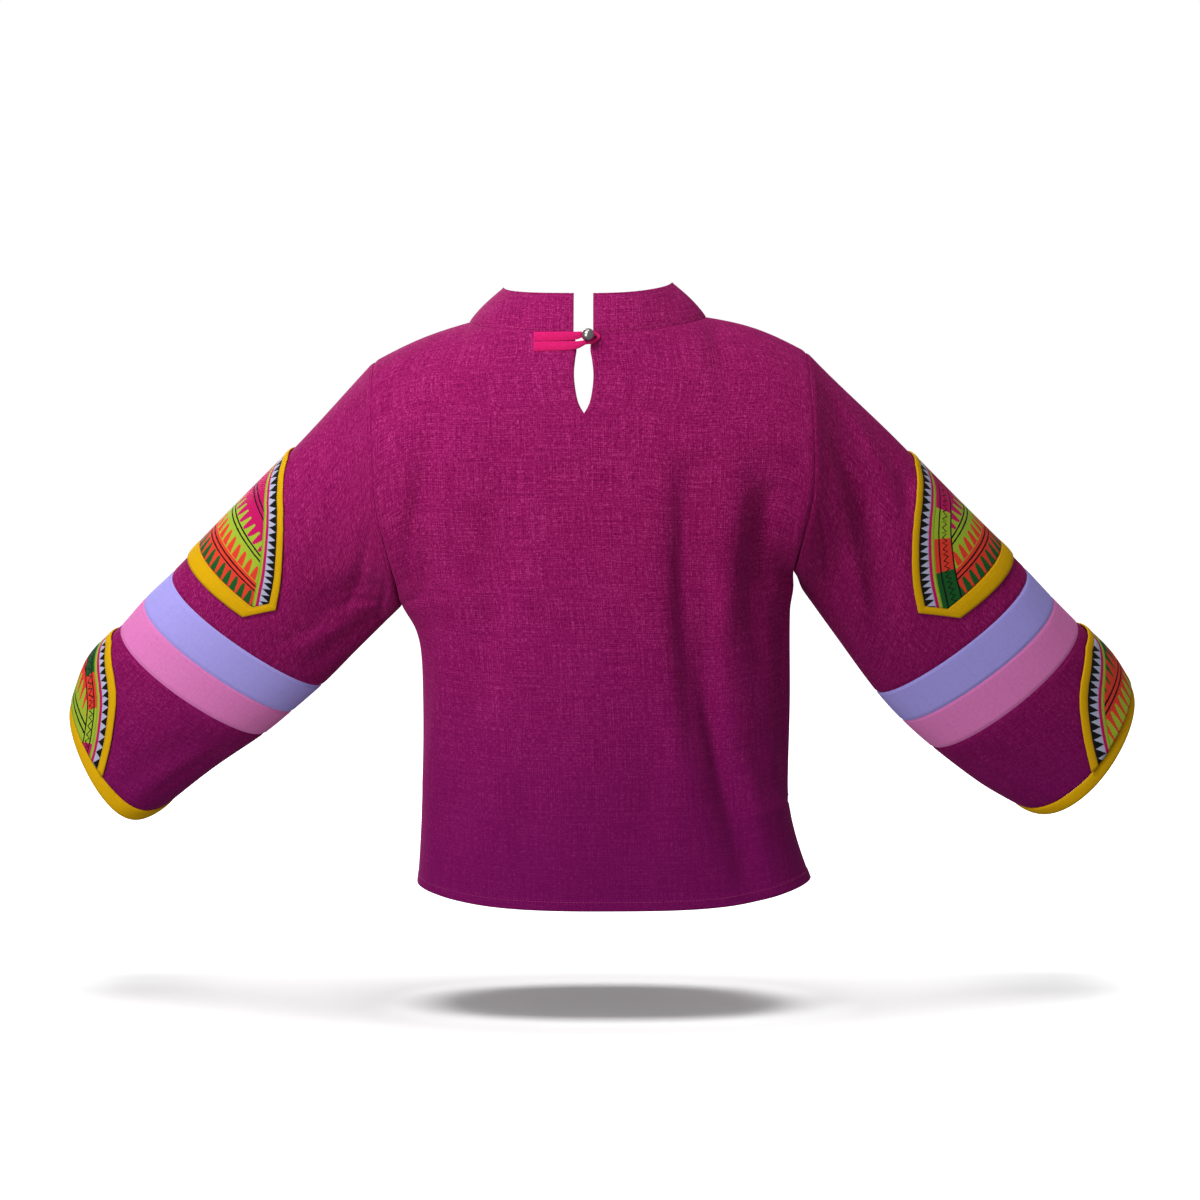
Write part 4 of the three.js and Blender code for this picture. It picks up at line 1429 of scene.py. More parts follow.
@dataclass
class GridSheet:
    """One or more grids of places, in mm, joined into one mesh where they meet."""

    grids: list[Array] = field(default_factory=list)
    maps: list[dict[str, Array]] = field(default_factory=list)
    reverse: list[bool] = field(default_factory=list)

    def put(self, points: Array, maps: dict[str, Array], reverse: bool) -> None:
        """Adds a grid.

        Args:
            points: Its places.
            maps: UV maps by name, one pair to each place.
            reverse: Whether its faces are turned over.
        """
        self.grids.append(points)
        self.maps.append(maps)
        self.reverse.append(reverse)

    def mesh(self, name: str) -> bpy.types.Mesh:
        """Joins the grids.

        Args:
            name: The mesh's name.

        Returns:
            The mesh.
        """
        bm = bmesh.new()
        names = list(self.maps[0])
        layers = {key: bm.loops.layers.uv.new(key) for key in names}
        for points, maps, reverse in zip(self.grids, self.maps, self.reverse, strict=True):
            columns, rows = points.shape[:2]
            made = bmesh.ops.create_grid(bm, x_segments=columns - 1, y_segments=rows - 1, size=1.0)["verts"]
            places = np.array([vertex.co[:2] for vertex in made])
            low, high = places.min(axis=0), places.max(axis=0)
            index = np.rint((places - low) / (high - low) * (columns - 1, rows - 1)).astype(int)
            lookup = {}
            for vertex, (i, j) in zip(made, index, strict=True):
                vertex.co = Vector(points[i, j] * MM)
                lookup[vertex] = (i, j)
            faces = {face for vertex in made for face in vertex.link_faces}
            for face in faces:
                for loop in face.loops:
                    i, j = lookup[loop.vert]
                    for key, layer in layers.items():
                        loop[layer].uv = maps[key][i, j]
            if reverse:
                bmesh.ops.reverse_faces(bm, faces=list(faces))
        bmesh.ops.remove_doubles(bm, verts=bm.verts, dist=1e-6)
        return closed(bm, name)


def row_at(surface: Array, normals: Array, distance: Array, at: float, axis: int) -> tuple[Array, Array]:
    """The line of a grid that lies at a distance from one of its edges.

    Args:
        surface: The grid's places.
        normals: Its normals.
        distance: The distance of each place from the edge.
        at: The wanted distance.
        axis: The direction in which the distance is measured.

    Returns:
        The line's places and normals.
    """
    index = np.argmin(np.abs(distance - at), axis=axis)
    line = np.arange(len(index))
    pick = (line, index) if axis == 1 else (index, line)
    return surface[pick], normals[pick]


def seam_dip(distance: Array, depth: float = 1.0, width: float = 2.2) -> Array:
    """How far cloth dips towards a sewn edge.

    Args:
        distance: Distance from the edge.
        depth: The dip at the edge.
        width: How far in it reaches.

    Returns:
        The dip, in mm.
    """
    return depth * np.exp(-((distance / width) ** 2))


def turned_hem(distance: Array, width: float = 9.0, rise: float = 0.55) -> Array:
    """How far a turned hem stands out, with the dent of its stitching.

    Args:
        distance: Distance from the hem's edge.
        width: Width of the hem.
        rise: How much thicker it is.

    Returns:
        The rise, in mm.
    """
    dent = np.exp(-(((distance - width + 1.2) / 0.9) ** 2))
    return rise * (1 - smooth(distance, width - 0.6, width + 1.6)) - 0.42 * dent


@dataclass
class StitchRow:
    """A row of short stitches laid on a path of places with outward normals."""

    points: Array
    normals: Array
    pitch: float = 2.9
    length: float = 2.1
    thick: float = 0.5

    def put(self, bm: bmesh.types.BMesh) -> int:
        """Adds the stitches.

        Args:
            bm: The mesh that takes them.

        Returns:
            How many.
        """
        lengths = np.concatenate([[0.0], np.cumsum(np.linalg.norm(np.diff(self.points, axis=0), axis=1))])
        count = int(lengths[-1] / self.pitch)
        row = bmesh.new()
        for i in range(count):
            at = (i + 0.5) * self.pitch
            ends = [
                np.array([np.interp(end, lengths, self.points[:, k]) for k in range(3)])
                for end in (at - self.length / 2, at + self.length / 2)
            ]
            normal = unit(np.array([np.interp(at, lengths, self.normals[:, k]) for k in range(3)]))
            run = unit(ends[1] - ends[0])
            aside = np.cross(normal, run)
            middle = (ends[0] + ends[1]) / 2
            scale = (self.length / 2, self.thick / 2, self.thick / 2)
            matrix = np.eye(4)
            for k, axis in enumerate((run, aside, normal)):
                matrix[:3, k] = axis * scale[k] * MM
            matrix[:3, 3] = middle * MM
            placed = Matrix(matrix.tolist())
            bmesh.ops.create_uvsphere(row, u_segments=6, v_segments=4, radius=1.0, matrix=placed)
        made = closed(row, "row")
        bm.from_mesh(made)
        bpy.data.meshes.remove(made)
        return count


# The garment's pieces
@dataclass
class Finishes:
    """Every material of the garment."""

    hemp: bpy.types.Material
    lilac: bpy.types.Material
    pink: bpy.types.Material
    yellow: bpy.types.Material
    loop: bpy.types.Material
    steel: bpy.types.Material
    hemp_thread: bpy.types.Material
    pink_thread: bpy.types.Material
    lilac_thread: bpy.types.Material
    gold_thread: bpy.types.Material
    white_thread: bpy.types.Material


def make_finishes() -> Finishes:
    """Makes the garment's materials.

    Returns:
        All of them.
    """
    return Finishes(
        # hemp: its low colour is painted shade, darker and bluer towards the hem.
        hemp=WovenCloth(
            "magenta_hemp", srgb(157, 21, 97), srgb(206, 66, 142), srgb(108, 3, 66),
            Weave.HEMP, 0.8, 0.0003, low=srgb(106, 8, 88), fleck=2.0,
        ).build(),
        lilac=WovenCloth(
            "lilac_cloth", srgb(180, 170, 248), srgb(198, 190, 252), srgb(152, 142, 228), Weave.BAND, 0.4
        ).build(),
        pink=WovenCloth(
            "pink_cloth", srgb(240, 136, 204), srgb(250, 164, 220), srgb(206, 104, 174), Weave.BAND, 0.4
        ).build(),
        yellow=WovenCloth(
            "yellow_binding", srgb(232, 180, 12), srgb(242, 196, 30), srgb(202, 146, 6),
            Weave.BINDING, 0.25, 0.0001,
        ).build(),
        loop=WovenCloth(
            "hot_pink_tube", srgb(232, 34, 118), srgb(244, 70, 146), srgb(190, 16, 92), Weave.BINDING, 0.3
        ).build(),
        steel=PolishedSteel().build(),
        hemp_thread=Thread("magenta_thread", srgb(176, 44, 112)).build(),
        pink_thread=Thread("pink_thread", srgb(214, 128, 190)).build(),
        lilac_thread=Thread("lilac_thread", srgb(176, 168, 240)).build(),
        gold_thread=Thread("gold_thread", srgb(206, 150, 20)).build(),
        white_thread=Thread("white_thread", srgb(226, 206, 222)).build(),
    )


@dataclass(frozen=True)
class PanelSteps:
    """How finely a panel is divided, up its height and across it."""

    low: int
    middle: int
    high: int
    neck: int
    shoulder: int
    top_rows: Sequence[float]
    centre_rows: Sequence[float] = ()
    slit: int = 16


BACK_STEPS = PanelSteps(46, 30, 38, 30, 22, (0.004, 0.012, 0.022, 0.035), (0.006, 0.015, 0.025))
FRONT_STEPS = PanelSteps(40, 26, 26, 26, 20, (0.004, 0.012, 0.022))


@dataclass
class Tailor:
    """Makes the pieces in order and keeps what they share."""

    builder: Builder
    finishes: Finishes
    sewing: dict[str, bmesh.types.BMesh] = field(default_factory=dict)
    evening: int = 24
    side_dip: tuple[float, float] = (1.6, 2.8)
    top_dip: tuple[float, float] = (0.7, 2.6)
    collar_dip: float = 0.9
    sleeve_dip: float = 0.9
    slit_hem: tuple[float, float] = (7.0, 0.45)
    keyhole_hem: tuple[float, float] = (5.0, 0.4)
    keyhole_reach: float = 84.0
    centre_line: tuple[float, float] = (0.35, 1.3)
    centre_line_span: tuple[float, float] = (-235.0, -150.0)
    stitch_lift: float = 0.18
    tack_length: float = 7.0
    tack_stitch: tuple[float, float, float] = (1.5, 1.9, 0.8)
    collar_tuck: float = 0.05
    collar_swell: float = 0.35
    collar_crush: float = 0.5
    stitch_dent: tuple[float, float] = (0.3, 0.9)
    cuff_swell: float = 0.9

    def stitch(self, group: str, row: StitchRow) -> None:
        """Adds a row of stitches to a group that becomes one object.

        Args:
            group: The group's name.
            row: The stitches.
        """
        if group not in self.sewing:
            self.sewing[group] = bmesh.new()
        count = row.put(self.sewing[group])
        self.builder.stitches[group] = self.builder.stitches.get(group, 0) + count

    def finish_sheet(
        self, grid: GridSheet, name: str, material: bpy.types.Material, nodes: Sequence[str], slot: str,
        thickness: float, flat: tuple[float, float],
    ) -> bpy.types.Object:
        """Turns grids into a sheet of cloth.

        Args:
            grid: The grids.
            name: The piece's name.
            material: Its finish.
            nodes: The solids that it stands for.
            slot: Not used; only passed on.
            thickness: Its thickness, in mm.
            flat: The size it was cut to, in mm.

        Returns:
            The object.
        """
        piece = self.builder.add(name, grid.mesh(name), material, nodes, slot)
        self.builder.shell(piece, thickness)
        size = (flat[0] * MM, flat[1] * MM)
        LOG.info("%s: %d faces", name, len(piece.data.polygons))
        return piece

    def panel(
        self, panel: BodyPanel, name: str, steps: PanelSteps, cut: tuple[float, float], kept: float,
        rests_on: Sequence[str],
    ) -> None:
        """Makes the back or the front.

        Args:
            panel: Its form.
            name: Its name, back or front.
            steps: How finely it is divided.
            cut: The size it was cut to.
            kept: Not used.
            rests_on: Not used.
        """
        heights = np.unique(np.round(np.concatenate([
            spaced(0, SLIT_TOP, steps.slit, HEM_ROWS), spaced(SLIT_TOP, 1, steps.low),
            spaced(1, 2, steps.middle), spaced(2, 3, steps.high, steps.top_rows),
        ]), 6))
        shares = np.unique(np.concatenate([
            spaced(0, NECK_SHARE, steps.neck, steps.centre_rows),
            spaced(NECK_SHARE, 1, steps.shoulder, SIDE_ROWS),
        ]))
        grid = GridSheet()
        for side in Side:
            columns, rows = np.meshgrid(shares, heights, indexing="ij")
            across = side.sign * columns
            points = back_place(across, rows, side.sign) if panel is BACK else panel.place(across, rows)
            self.dress_panel(grid, points, columns, rows, side, panel, side.sign * panel.facing > 0)
        self.finish_sheet(grid, f"{name}_cloth", self.finishes.hemp, [f"{name}_panel"], "hemp", CLOTH,
                          cut)

    def dress_panel(
        self, grid: GridSheet, points: Array, columns: Array, rows: Array, side: Side, panel: BodyPanel,
        turned: bool,
    ) -> None:
        """Adds half a panel to a grid, with its sewn edges, hems and stitches.

        Args:
            grid: The grid that takes it.
            points: The half's places.
            columns: Its shares across.
            rows: Its height shares.
            side: The half.
            panel: The panel.
            turned: Whether its normals are turned over.
        """
        near = np.exp(-(((columns - NECK_SHARE) / 0.09) ** 2)) * smooth(3 - rows, 0.0, 0.12)
        for _ in range(self.evening):
            middle = (points[:-2] + points[2:]) / 2
            points = points.copy()
            points[1:-1] = blend(points[1:-1], middle, near[1:-1, :, None] * 0.8)
        normals = grid_normals(points, turned)
        across = arc(points, 0)
        upward = arc(points, 1)
        from_side = across[-1:, :] - across
        from_top = upward[:, -1:] - upward
        sewn_side = smooth(rows, SLIT_TOP, SLIT_TOP + 0.05)
        offset = -seam_dip(from_side, *self.side_dip) * sewn_side - seam_dip(from_top, *self.top_dip)
        offset += turned_hem(upward)
        offset += turned_hem(from_side, *self.slit_hem) * (1 - sewn_side)
        if panel is BACK:
            rim = smooth(-(points[..., 2] + BACK.neck_drop + self.keyhole_reach), -2.0, 2.0)
            offset += turned_hem(across, *self.keyhole_hem) * (1 - rim)
            depth, width = self.centre_line
            line = np.exp(-((across / width) ** 2)) * rim
            offset -= depth * (line * smooth(points[..., 2], *self.centre_line_span))
        finished = points + normals * offset[..., None]
        u = side.sign * across
        v = upward - upward[:, :1]
        grid.put(finished, {"cloth": np.stack([u, v], axis=-1)}, turned)
        surface = finished + normals * (self.stitch_lift + CLOTH / 2)
        self.stitch("hemp_stitching", StitchRow(*row_at(surface, normals, upward, HEM_STITCHES, 1)))
        places, outward = row_at(surface, normals, from_side, SLIT_STITCHES, 0)
        low = rows[0] < SLIT_TOP
        self.stitch("hemp_stitching", StitchRow(places[low], outward[low]))
        level = int(np.argmin(np.abs(rows[0] - SLIT_TOP)))
        tack = from_side[:, level] < self.tack_length
        bar = StitchRow(surface[tack, level], normals[tack, level], *self.tack_stitch)
        self.stitch("white_stitching", bar)
        if panel is BACK:
            places, outward = row_at(surface, normals, across, KEYHOLE_STITCHES, 0)
            high = points[0, :, 2] > -BACK.neck_drop - KEYHOLE[-1][0] - 1
            self.stitch("hemp_stitching", StitchRow(places[high], outward[high]))

    def collar(self) -> None:
        """Makes the stand collar, open at the back."""
        turns = spaced(0, 2, 96, (0.004, 0.012, 0.024, 0.036))
        ups = np.concatenate([[-self.collar_tuck], spaced(0, 1, 10, (0.02, 0.05, 0.08))])
        grid = GridSheet()
        for side in Side:
            columns, rows = np.meshgrid(turns, ups, indexing="ij")
            points = collar_place(side, columns, rows)
            turned = side is Side.LEFT
            normals = grid_normals(points, turned)
            across, upward = arc(points, 0), arc(points, 1)
            upward = upward - upward[:, 1:2]
            tall = upward[:, -1:]
            offset = self.collar_swell - seam_dip(np.maximum(upward, 0.0), self.collar_dip)
            depth, width = self.stitch_dent
            for distance in (across, upward, tall - upward):
                offset = offset - depth * np.exp(-(((distance - COLLAR_STITCHES) / width) ** 2))
            crush = self.collar_crush * np.sin(across / 17.0) * np.sin(upward / tall * math.pi)
            offset = offset + crush
            points = points + normals * offset[..., None]
            u = side.sign * across
            grid.put(points, {"cloth": np.stack([u, upward], axis=-1)}, turned)
            surface = points + normals * (CLOTH / 2 + self.collar_swell)
            for distance, axis in ((upward, 1), (tall - upward, 1), (across, 0)):
                line = row_at(surface, normals, distance, COLLAR_STITCHES, axis)
                self.stitch("hemp_stitching", StitchRow(*line))
        self.finish_sheet(grid, "collar_cloth", self.finishes.hemp, ["collar"], "hemp", COLLAR_CLOTH,
                          COLLAR_CUT)

    def sleeve_part(
        self, side: Side, name: str, starts: Array, material: bpy.types.Material, node: str, slot: str,
        flat: tuple[float, float], thread: str | None,
    ) -> None:
        """Makes one ring or tube of a sleeve.

        Args:
            side: The wearer's side.
            name: The piece's name.
            starts: Places down the outer line.
            material: Its finish.
            node: The solid that it stands for.
            slot: Not used; only passed on.
            flat: The size it was cut to.
            thread: The group of its stitching, if it has any.
        """
        arm = ARMS[side]
        rounds = np.linspace(-1, 1, 145)
        columns, rows = np.meshgrid(starts, rounds, indexing="ij")
        points = arm.place(columns, rows)
        points[:, 0] = points[:, -1]
        turned = side is Side.RIGHT
        normals = grid_normals(points, turned)
        seam = unit(normals[:, 0] + normals[:, -1])
        normals[:, 0] = normals[:, -1] = seam
        down = arc(points, 0)
        around = arc(points, 1)
        around = around - around[:, [around.shape[1] // 2]]
        length = down[-1:, :]
        binding = node.startswith("cuff_binding")
        dip = 0.0 if binding else self.sleeve_dip
        offset = -seam_dip(down, dip) - seam_dip(length - down, dip)
        if binding:
            offset = offset + self.cuff_swell * np.sin(np.clip(down / length, 0, 1) * math.pi) ** 0.6
        points = points + normals * offset[..., None]
        grid = GridSheet()
        grid.put(points, {"cloth": np.stack([around, down], axis=-1)}, turned)
        thickness = BINDING_CLOTH if binding else CLOTH
        self.finish_sheet(grid, name, material, [node], slot, thickness, flat)
        if thread:
            surface = points + normals * (CLOTH / 2 + 0.15)
            for distance in (down, length - down):
                line = row_at(surface, normals, distance, BAND_STITCHES, 0)
                self.stitch(thread, StitchRow(*line, thick=0.4))

    def sleeve(self, side: Side) -> None:
        """Makes a whole sleeve: its upper part, two bands, lower part and bound cuff.

        Args:
            side: The wearer's side.
        """
        arm, tag = ARMS[side], side.value
        upper_end, band_seam, lower_start, cuff = (arm.rings[k][0] for k in (2, 3, 4, 6))
        bound = cuff - CUFF_BINDING
        done = self.finishes
        upper = spaced(0, upper_end, 66, BAND_ROWS)
        lilac = spaced(upper_end, band_seam, 10, BAND_ROWS)
        pink = spaced(band_seam, lower_start, 10, BAND_ROWS)
        lower = spaced(lower_start, bound, 24, BAND_ROWS)
        binding = np.linspace(bound, cuff, 8)
        for name, starts, material, slot, cut, thread in (
            ("sleeve_upper", upper, done.hemp, "hemp", UPPER_SLEEVE_CUT, None),
            ("lilac_band", lilac, done.lilac, "lilac", LILAC_BAND_CUT, "lilac_stitching"),
            ("pink_band", pink, done.pink, "pink", PINK_BAND_CUT, "pink_stitching"),
            ("sleeve_lower", lower, done.hemp, "hemp", LOWER_SLEEVE_CUT, None),
            ("cuff_binding", binding, done.yellow, "yellow", CUFF_BINDING_CUT, None),
        ):
            piece = f"{name}_cloth_{tag}"
            self.sleeve_part(side, piece, starts, material, f"{name}_{tag}", slot, cut, thread)


@dataclass
class Patch:
    """One embroidered patch with its yellow binding."""

    side: Side
    name: str
    shape: PatchShape
    stitched: Embroidery
    sleeve_piece: str
    row_pitch: float = 1.8
    field_lift: float = 1.0
    field_pad: tuple[float, float] = (0.3, 3.0)
    binding_lift: float = 0.9
    binding_swell: float = 0.75
    binding_pitch: float = 2.4
    gold_stitch: tuple[float, float, float] = (2.3, 1.5, 0.4)
    corner_reach: float = 8.0

    def outline(self) -> list[tuple[float, float]]:
        """The patch's own outline, with its long slanted edge as one smooth curve.

        Returns:
            Its corners, as (down the outer line, reach round it).
        """
        rows = self.shape.rows
        slanted = rows[:-1] if self.shape.foot > 0 else rows
        starts = np.linspace(slanted[0][0], slanted[-1][0], 11)
        edge = follow(slanted, starts)
        smoothed = [(float(at), float(half)) for at, half in zip(starts, edge, strict=True)]
        return smoothed + [tuple(row) for row in rows[len(slanted):]]

    def inner(self) -> list[tuple[float, float]]:
        """The outline of the field inside the binding.

        Returns:
            Its corners.
        """
        rows = self.outline()
        lines = []
        for (at, half), (next_at, next_half) in zip(rows[:-1], rows[1:], strict=True):
            slope = (next_half - half) / (next_at - at)
            lines.append((slope, half - slope * at - PATCH_EDGE * math.hypot(1, slope)))
        starts = [rows[0][0] + PATCH_EDGE]
        for (slope, base), (next_slope, next_base) in zip(lines[:-1], lines[1:], strict=True):
            starts.append((next_base - base) / (slope - next_slope))
        starts.append(rows[-1][0] - self.shape.foot)
        picked = [lines[min(i, len(lines) - 1)] for i in range(len(starts))]
        return [(at, max(slope * at + base, 1.0)) for at, (slope, base) in zip(starts, picked, strict=True)]

    def place(self, at: Array, reach: Array, lift: Any) -> Array:
        """A place on the sleeve in the patch's sizes.

        Args:
            at: Down the outer line.
            reach: Round from that line.
            lift: How far to stand off the sleeve.

        Returns:
            Places, in mm.
        """
        rows = self.shape.rows
        first, (last, last_half) = rows[0][0], rows[-1]
        sag = self.shape.bow * ((at - first) / (last - first)) * (1 - (reach / last_half) ** 2)
        start = at + np.maximum(sag, 0.0)
        arm = ARMS[self.side]
        return arm.place(start, reach / arm.half(start), lift)

    def edge_distances(self, at: Array, reach: Array) -> tuple[Array, Array]:
        """Distance in from the slanted edge, and along it.

        Args:
            at: Down the outer line.
            reach: Round from that line.

        Returns:
            The two distances.
        """
        inner = self.inner()
        outline = np.array(inner[:-1] if self.shape.foot > 0 else inner)
        place = np.stack([at, np.abs(reach)], axis=-1)
        best = np.full(at.shape, 1e9)
        along = np.zeros(at.shape)
        total = float(np.linalg.norm(np.diff(outline, axis=0), axis=1).sum())
        walked = 0.0
        for start, end in zip(outline[:-1], outline[1:], strict=True):
            run = end - start
            length = float(np.linalg.norm(run))
            share = ((place - start) @ run) / length**2
            before = -self.corner_reach / length if walked == 0.0 else 0.0
            held = np.clip(share, before, 9.0 if walked + length > total - 0.01 else 1.0)
            distance = np.linalg.norm(place - start - held[..., None] * run, axis=-1)
            nearer = distance < best
            best = np.where(nearer, distance, best)
            along = np.where(nearer, walked + held * length, along)
            walked += length
        return best, along

    def build(self, tailor: Tailor) -> None:
        """Makes the field and the binding.

        Args:
            tailor: What keeps the pieces.
        """
        tag = f"{self.name}_{self.side.value}"
        inner = np.array(self.inner())
        turned = self.side is Side.RIGHT
        base_at = float(inner[-1, 0])
        starts = np.unique(np.concatenate([
            np.linspace(low, high, max(2, int((high - low) / self.row_pitch) + 1))
            for low, high in zip(inner[:-1, 0], inner[1:, 0], strict=True)
        ]))
        shares = np.linspace(-1, 1, 141)
        columns, rows = np.meshgrid(starts, shares, indexing="ij")
        reach = rows * np.interp(columns, inner[:, 0], inner[:, 1])
        lift = self.shape.lift + self.field_lift
        edge, run = self.edge_distances(columns, reach)
        rise, width = self.field_pad
        points = self.place(columns, reach, lift + rise * (1 - np.exp(-(edge / width) ** 2)))
        grid = GridSheet()
        grid.put(points, {
            "edge": np.stack([edge, run], axis=-1),
            "field": np.stack([np.abs(reach), base_at - columns], axis=-1),
        }, turned)
        width, length = float(2 * inner[:, 1].max()), float(inner[-1, 0] - inner[0, 0])
        tailor.finish_sheet(
            grid, f"{self.name}_field_{self.side.value}", self.stitched.build(length), [tag], "embroidery",
            CLOTH, (width, length),
        )
        self.bind(tailor, inner, turned)

    def bind(self, tailor: Tailor, inner: Array, turned: bool) -> None:
        """Makes the yellow binding and its stitching.

        Args:
            tailor: What keeps the pieces.
            inner: The field's outline.
            turned: Whether faces are turned over.
        """
        tag = f"{self.name}_binding_{self.side.value}"

        def walk(table: Array) -> Array:
            """The outline from its foot in front, over the outer line, to its foot behind."""
            front = [(at, -half) for at, half in table[::-1]]
            return np.array(front + [(at, half) for at, half in table])

        outer, border = walk(np.array(self.outline())), walk(inner)
        if self.shape.foot > 0:
            outer, border = np.vstack([outer, outer[:1]]), np.vstack([border, border[:1]])
        stops: list[float] = []
        for i in range(len(outer) - 1):
            count = max(2, int(np.linalg.norm(outer[i + 1] - outer[i]) / self.binding_pitch))
            stops += list(np.linspace(i, i + 1, count, endpoint=False))
        stops.append(len(outer) - 1.0)
        keys = np.arange(len(outer))
        inward = np.linspace(0, 1, 8)
        columns, rows = np.meshgrid(np.array(stops), inward, indexing="ij")
        places = [
            blend(np.interp(columns, keys, outer[:, k]), np.interp(columns, keys, border[:, k]), rows)
            for k in range(2)
        ]
        dent = 0.25 * np.exp(-(((rows - 0.86) / 0.06) ** 2))
        plump = self.binding_swell * np.sin(rows * math.pi) ** 0.5 - dent
        points = self.place(places[0], places[1], self.shape.lift + self.binding_lift + plump)
        if self.shape.foot > 0:
            points[-1] = points[0]
        grid = GridSheet()
        run = arc(points, 0)
        wide = arc(points, 1)
        grid.put(points, {"cloth": np.stack([run, wide], axis=-1)}, not turned)
        length = float(run[:, 0].max())
        width = max(float(wide[:, -1].max()), LEAST_WIDTH)
        tailor.finish_sheet(
            grid, tag.replace("binding", "trim"), tailor.finishes.yellow, [tag], "yellow",
            PATCH_BINDING_CLOTH, (length, width),
        )
        normals = grid_normals(points, not turned)
        seat = points + normals * self.binding_swell
        tailor.stitch("gold_stitching", StitchRow(seat[:, -2], normals[:, -2], *self.gold_stitch))


@dataclass(frozen=True)
class ButtonLoop:
    """The fabric tube loop: rows of (x, z, width) along its path."""

    path: Rows = (
        (0, 53, -18, 8.6), (1, 34, -18, 8.6), (2, 16, -17.6, 7.6), (3, 6, -15.4, 4.4), (4, -1, -14.4, 3.6),
        (5, -6.4, -18.8, 3.2), (6, -1, -23.2, 3.6), (7, 6, -23.8, 4.2), (8, 16, -26.6, 7.6),
        (9, 34, -27.2, 8.6), (10, 53, -27.2, 8.6),
    )
    lift: float = 2.9
    thick: float = 1.9

    def build(self, tailor: Tailor) -> None:
        """Makes the tube.

        Args:
            tailor: What keeps the pieces.
        """
        runs = np.linspace(0, 10, 161)
        x, z, width = (follow(self.path, runs, k) for k in (1, 2, 3))
        centre = back_at(x, z)
        centre[:, 1] += self.lift
        ahead = unit(np.gradient(centre, axis=0))
        out = np.array([0.0, 1.0, 0.0])
        aside = unit(np.cross(ahead, out))
        turns = np.linspace(0, 2 * math.pi, 25)
        ring = np.sign(np.cos(turns)) * np.abs(np.cos(turns)) ** 0.8
        tall = np.sin(turns)
        dent = 0.25 * np.exp(-((ring - 0.55) ** 2) / 0.01) * (tall > 0)
        points = (
            centre[:, None, :]
            + aside[:, None, :] * (ring[None, :, None] * width[:, None, None] / 2)
            + out * ((tall - dent)[None, :, None] * self.thick / 2)
        )
        points[:, -1] = points[:, 0]
        grid = GridSheet()
        run = arc(points, 0)
        around = arc(points, 1)
        grid.put(points, {"cloth": np.stack([run, around], axis=-1)}, False)
        mesh = grid.mesh("loop_tube")
        bm = bmesh.new()
        bm.from_mesh(mesh)
        ends = [edge for edge in bm.edges if edge.is_boundary]
        bmesh.ops.holes_fill(bm, edges=ends, sides=0)
        bmesh.ops.recalc_face_normals(bm, faces=bm.faces)
        bm.to_mesh(mesh)
        bm.free()
        piece = tailor.builder.add("loop_tube", mesh, tailor.finishes.loop, ["button_loop"], "hot_pink")
        girth = float(around[:, -1].mean())
        width = max(girth * 0.6 * MM, 0.0101)


def back_at(x: Array, z: Array) -> Array:
    """Places on the back at given x and z, found by stepping towards them.

    Args:
        x: Places across.
        z: Heights.

    Returns:
        The places, in mm.
    """
    across, height = np.asarray(x, float) / 200, np.full(np.shape(x), 2.8)
    place = BACK.place(across, height)
    for _ in range(80):
        across = across + (x - place[..., 0]) / 300
        height = np.clip(height + (z - place[..., 2]) / 200, 2.0, 3.0)
        place = BACK.place(across, height)
    return np.stack([x, place[..., 1], z], axis=-1)


@dataclass(frozen=True)
class BallButton:
    """The ball button on its short shank."""

    diameter: float = 12.0
    shank: float = 2.4
    ball_at: tuple[float, float] = (3.3, -17.3)
    foot_at: tuple[float, float] = (-3.0, -18.8)
    foot_lift: float = 1.5
    ball_lift: float = 4.3
    steps: int = 40
    profile_steps: int = 28

    def build(self, tailor: Tailor) -> None:
        """Makes the button by spinning its profile.

        Args:
            tailor: What keeps the pieces.
        """
        foot = back_at(np.array(self.foot_at[0]), np.array(self.foot_at[1]))
        ball = back_at(np.array(self.ball_at[0]), np.array(self.ball_at[1]))
        radius = self.diameter / 2
        foot[1] += self.foot_lift
        ball[1] += self.ball_lift + radius
        axis = Vector(ball - foot)
        length = axis.length
        axis.normalize()
        shank = self.shank / 2
        opening = math.asin(shank / radius)
        profile = [(0.0, 0.0), (shank, 0.0), (shank * 0.92, length * 0.2)]
        profile += [
            (radius * math.sin(turn), length - radius * math.cos(turn))
            for turn in np.linspace(opening, math.pi, self.profile_steps)
        ]
        profile[-1] = (0.0, length + radius)
        bm = bmesh.new()
        vertices = [bm.verts.new((r * MM, 0.0, h * MM)) for r, h in profile]
        edges = [bm.edges.new(pair) for pair in zip(vertices[:-1], vertices[1:], strict=True)]
        bmesh.ops.spin(bm, geom=vertices + edges, cent=(0, 0, 0), axis=(0, 0, 1), dvec=(0, 0, 0),
                       angle=2 * math.pi, steps=self.steps, use_merge=True)
        bmesh.ops.remove_doubles(bm, verts=bm.verts, dist=1e-6)
        turn = Vector((0, 0, 1)).rotation_difference(axis).to_matrix()
        for vertex in bm.verts:
            vertex.co = turn @ vertex.co + Vector(foot * MM)
        bmesh.ops.recalc_face_normals(bm, faces=bm.faces)
        mesh = closed(bm, "ball_button")
        tailor.builder.add("ball_button", mesh, tailor.finishes.steel, ["button"], "steel")
        LOG.info("button: %.1f mm from foot to top", length + radius)


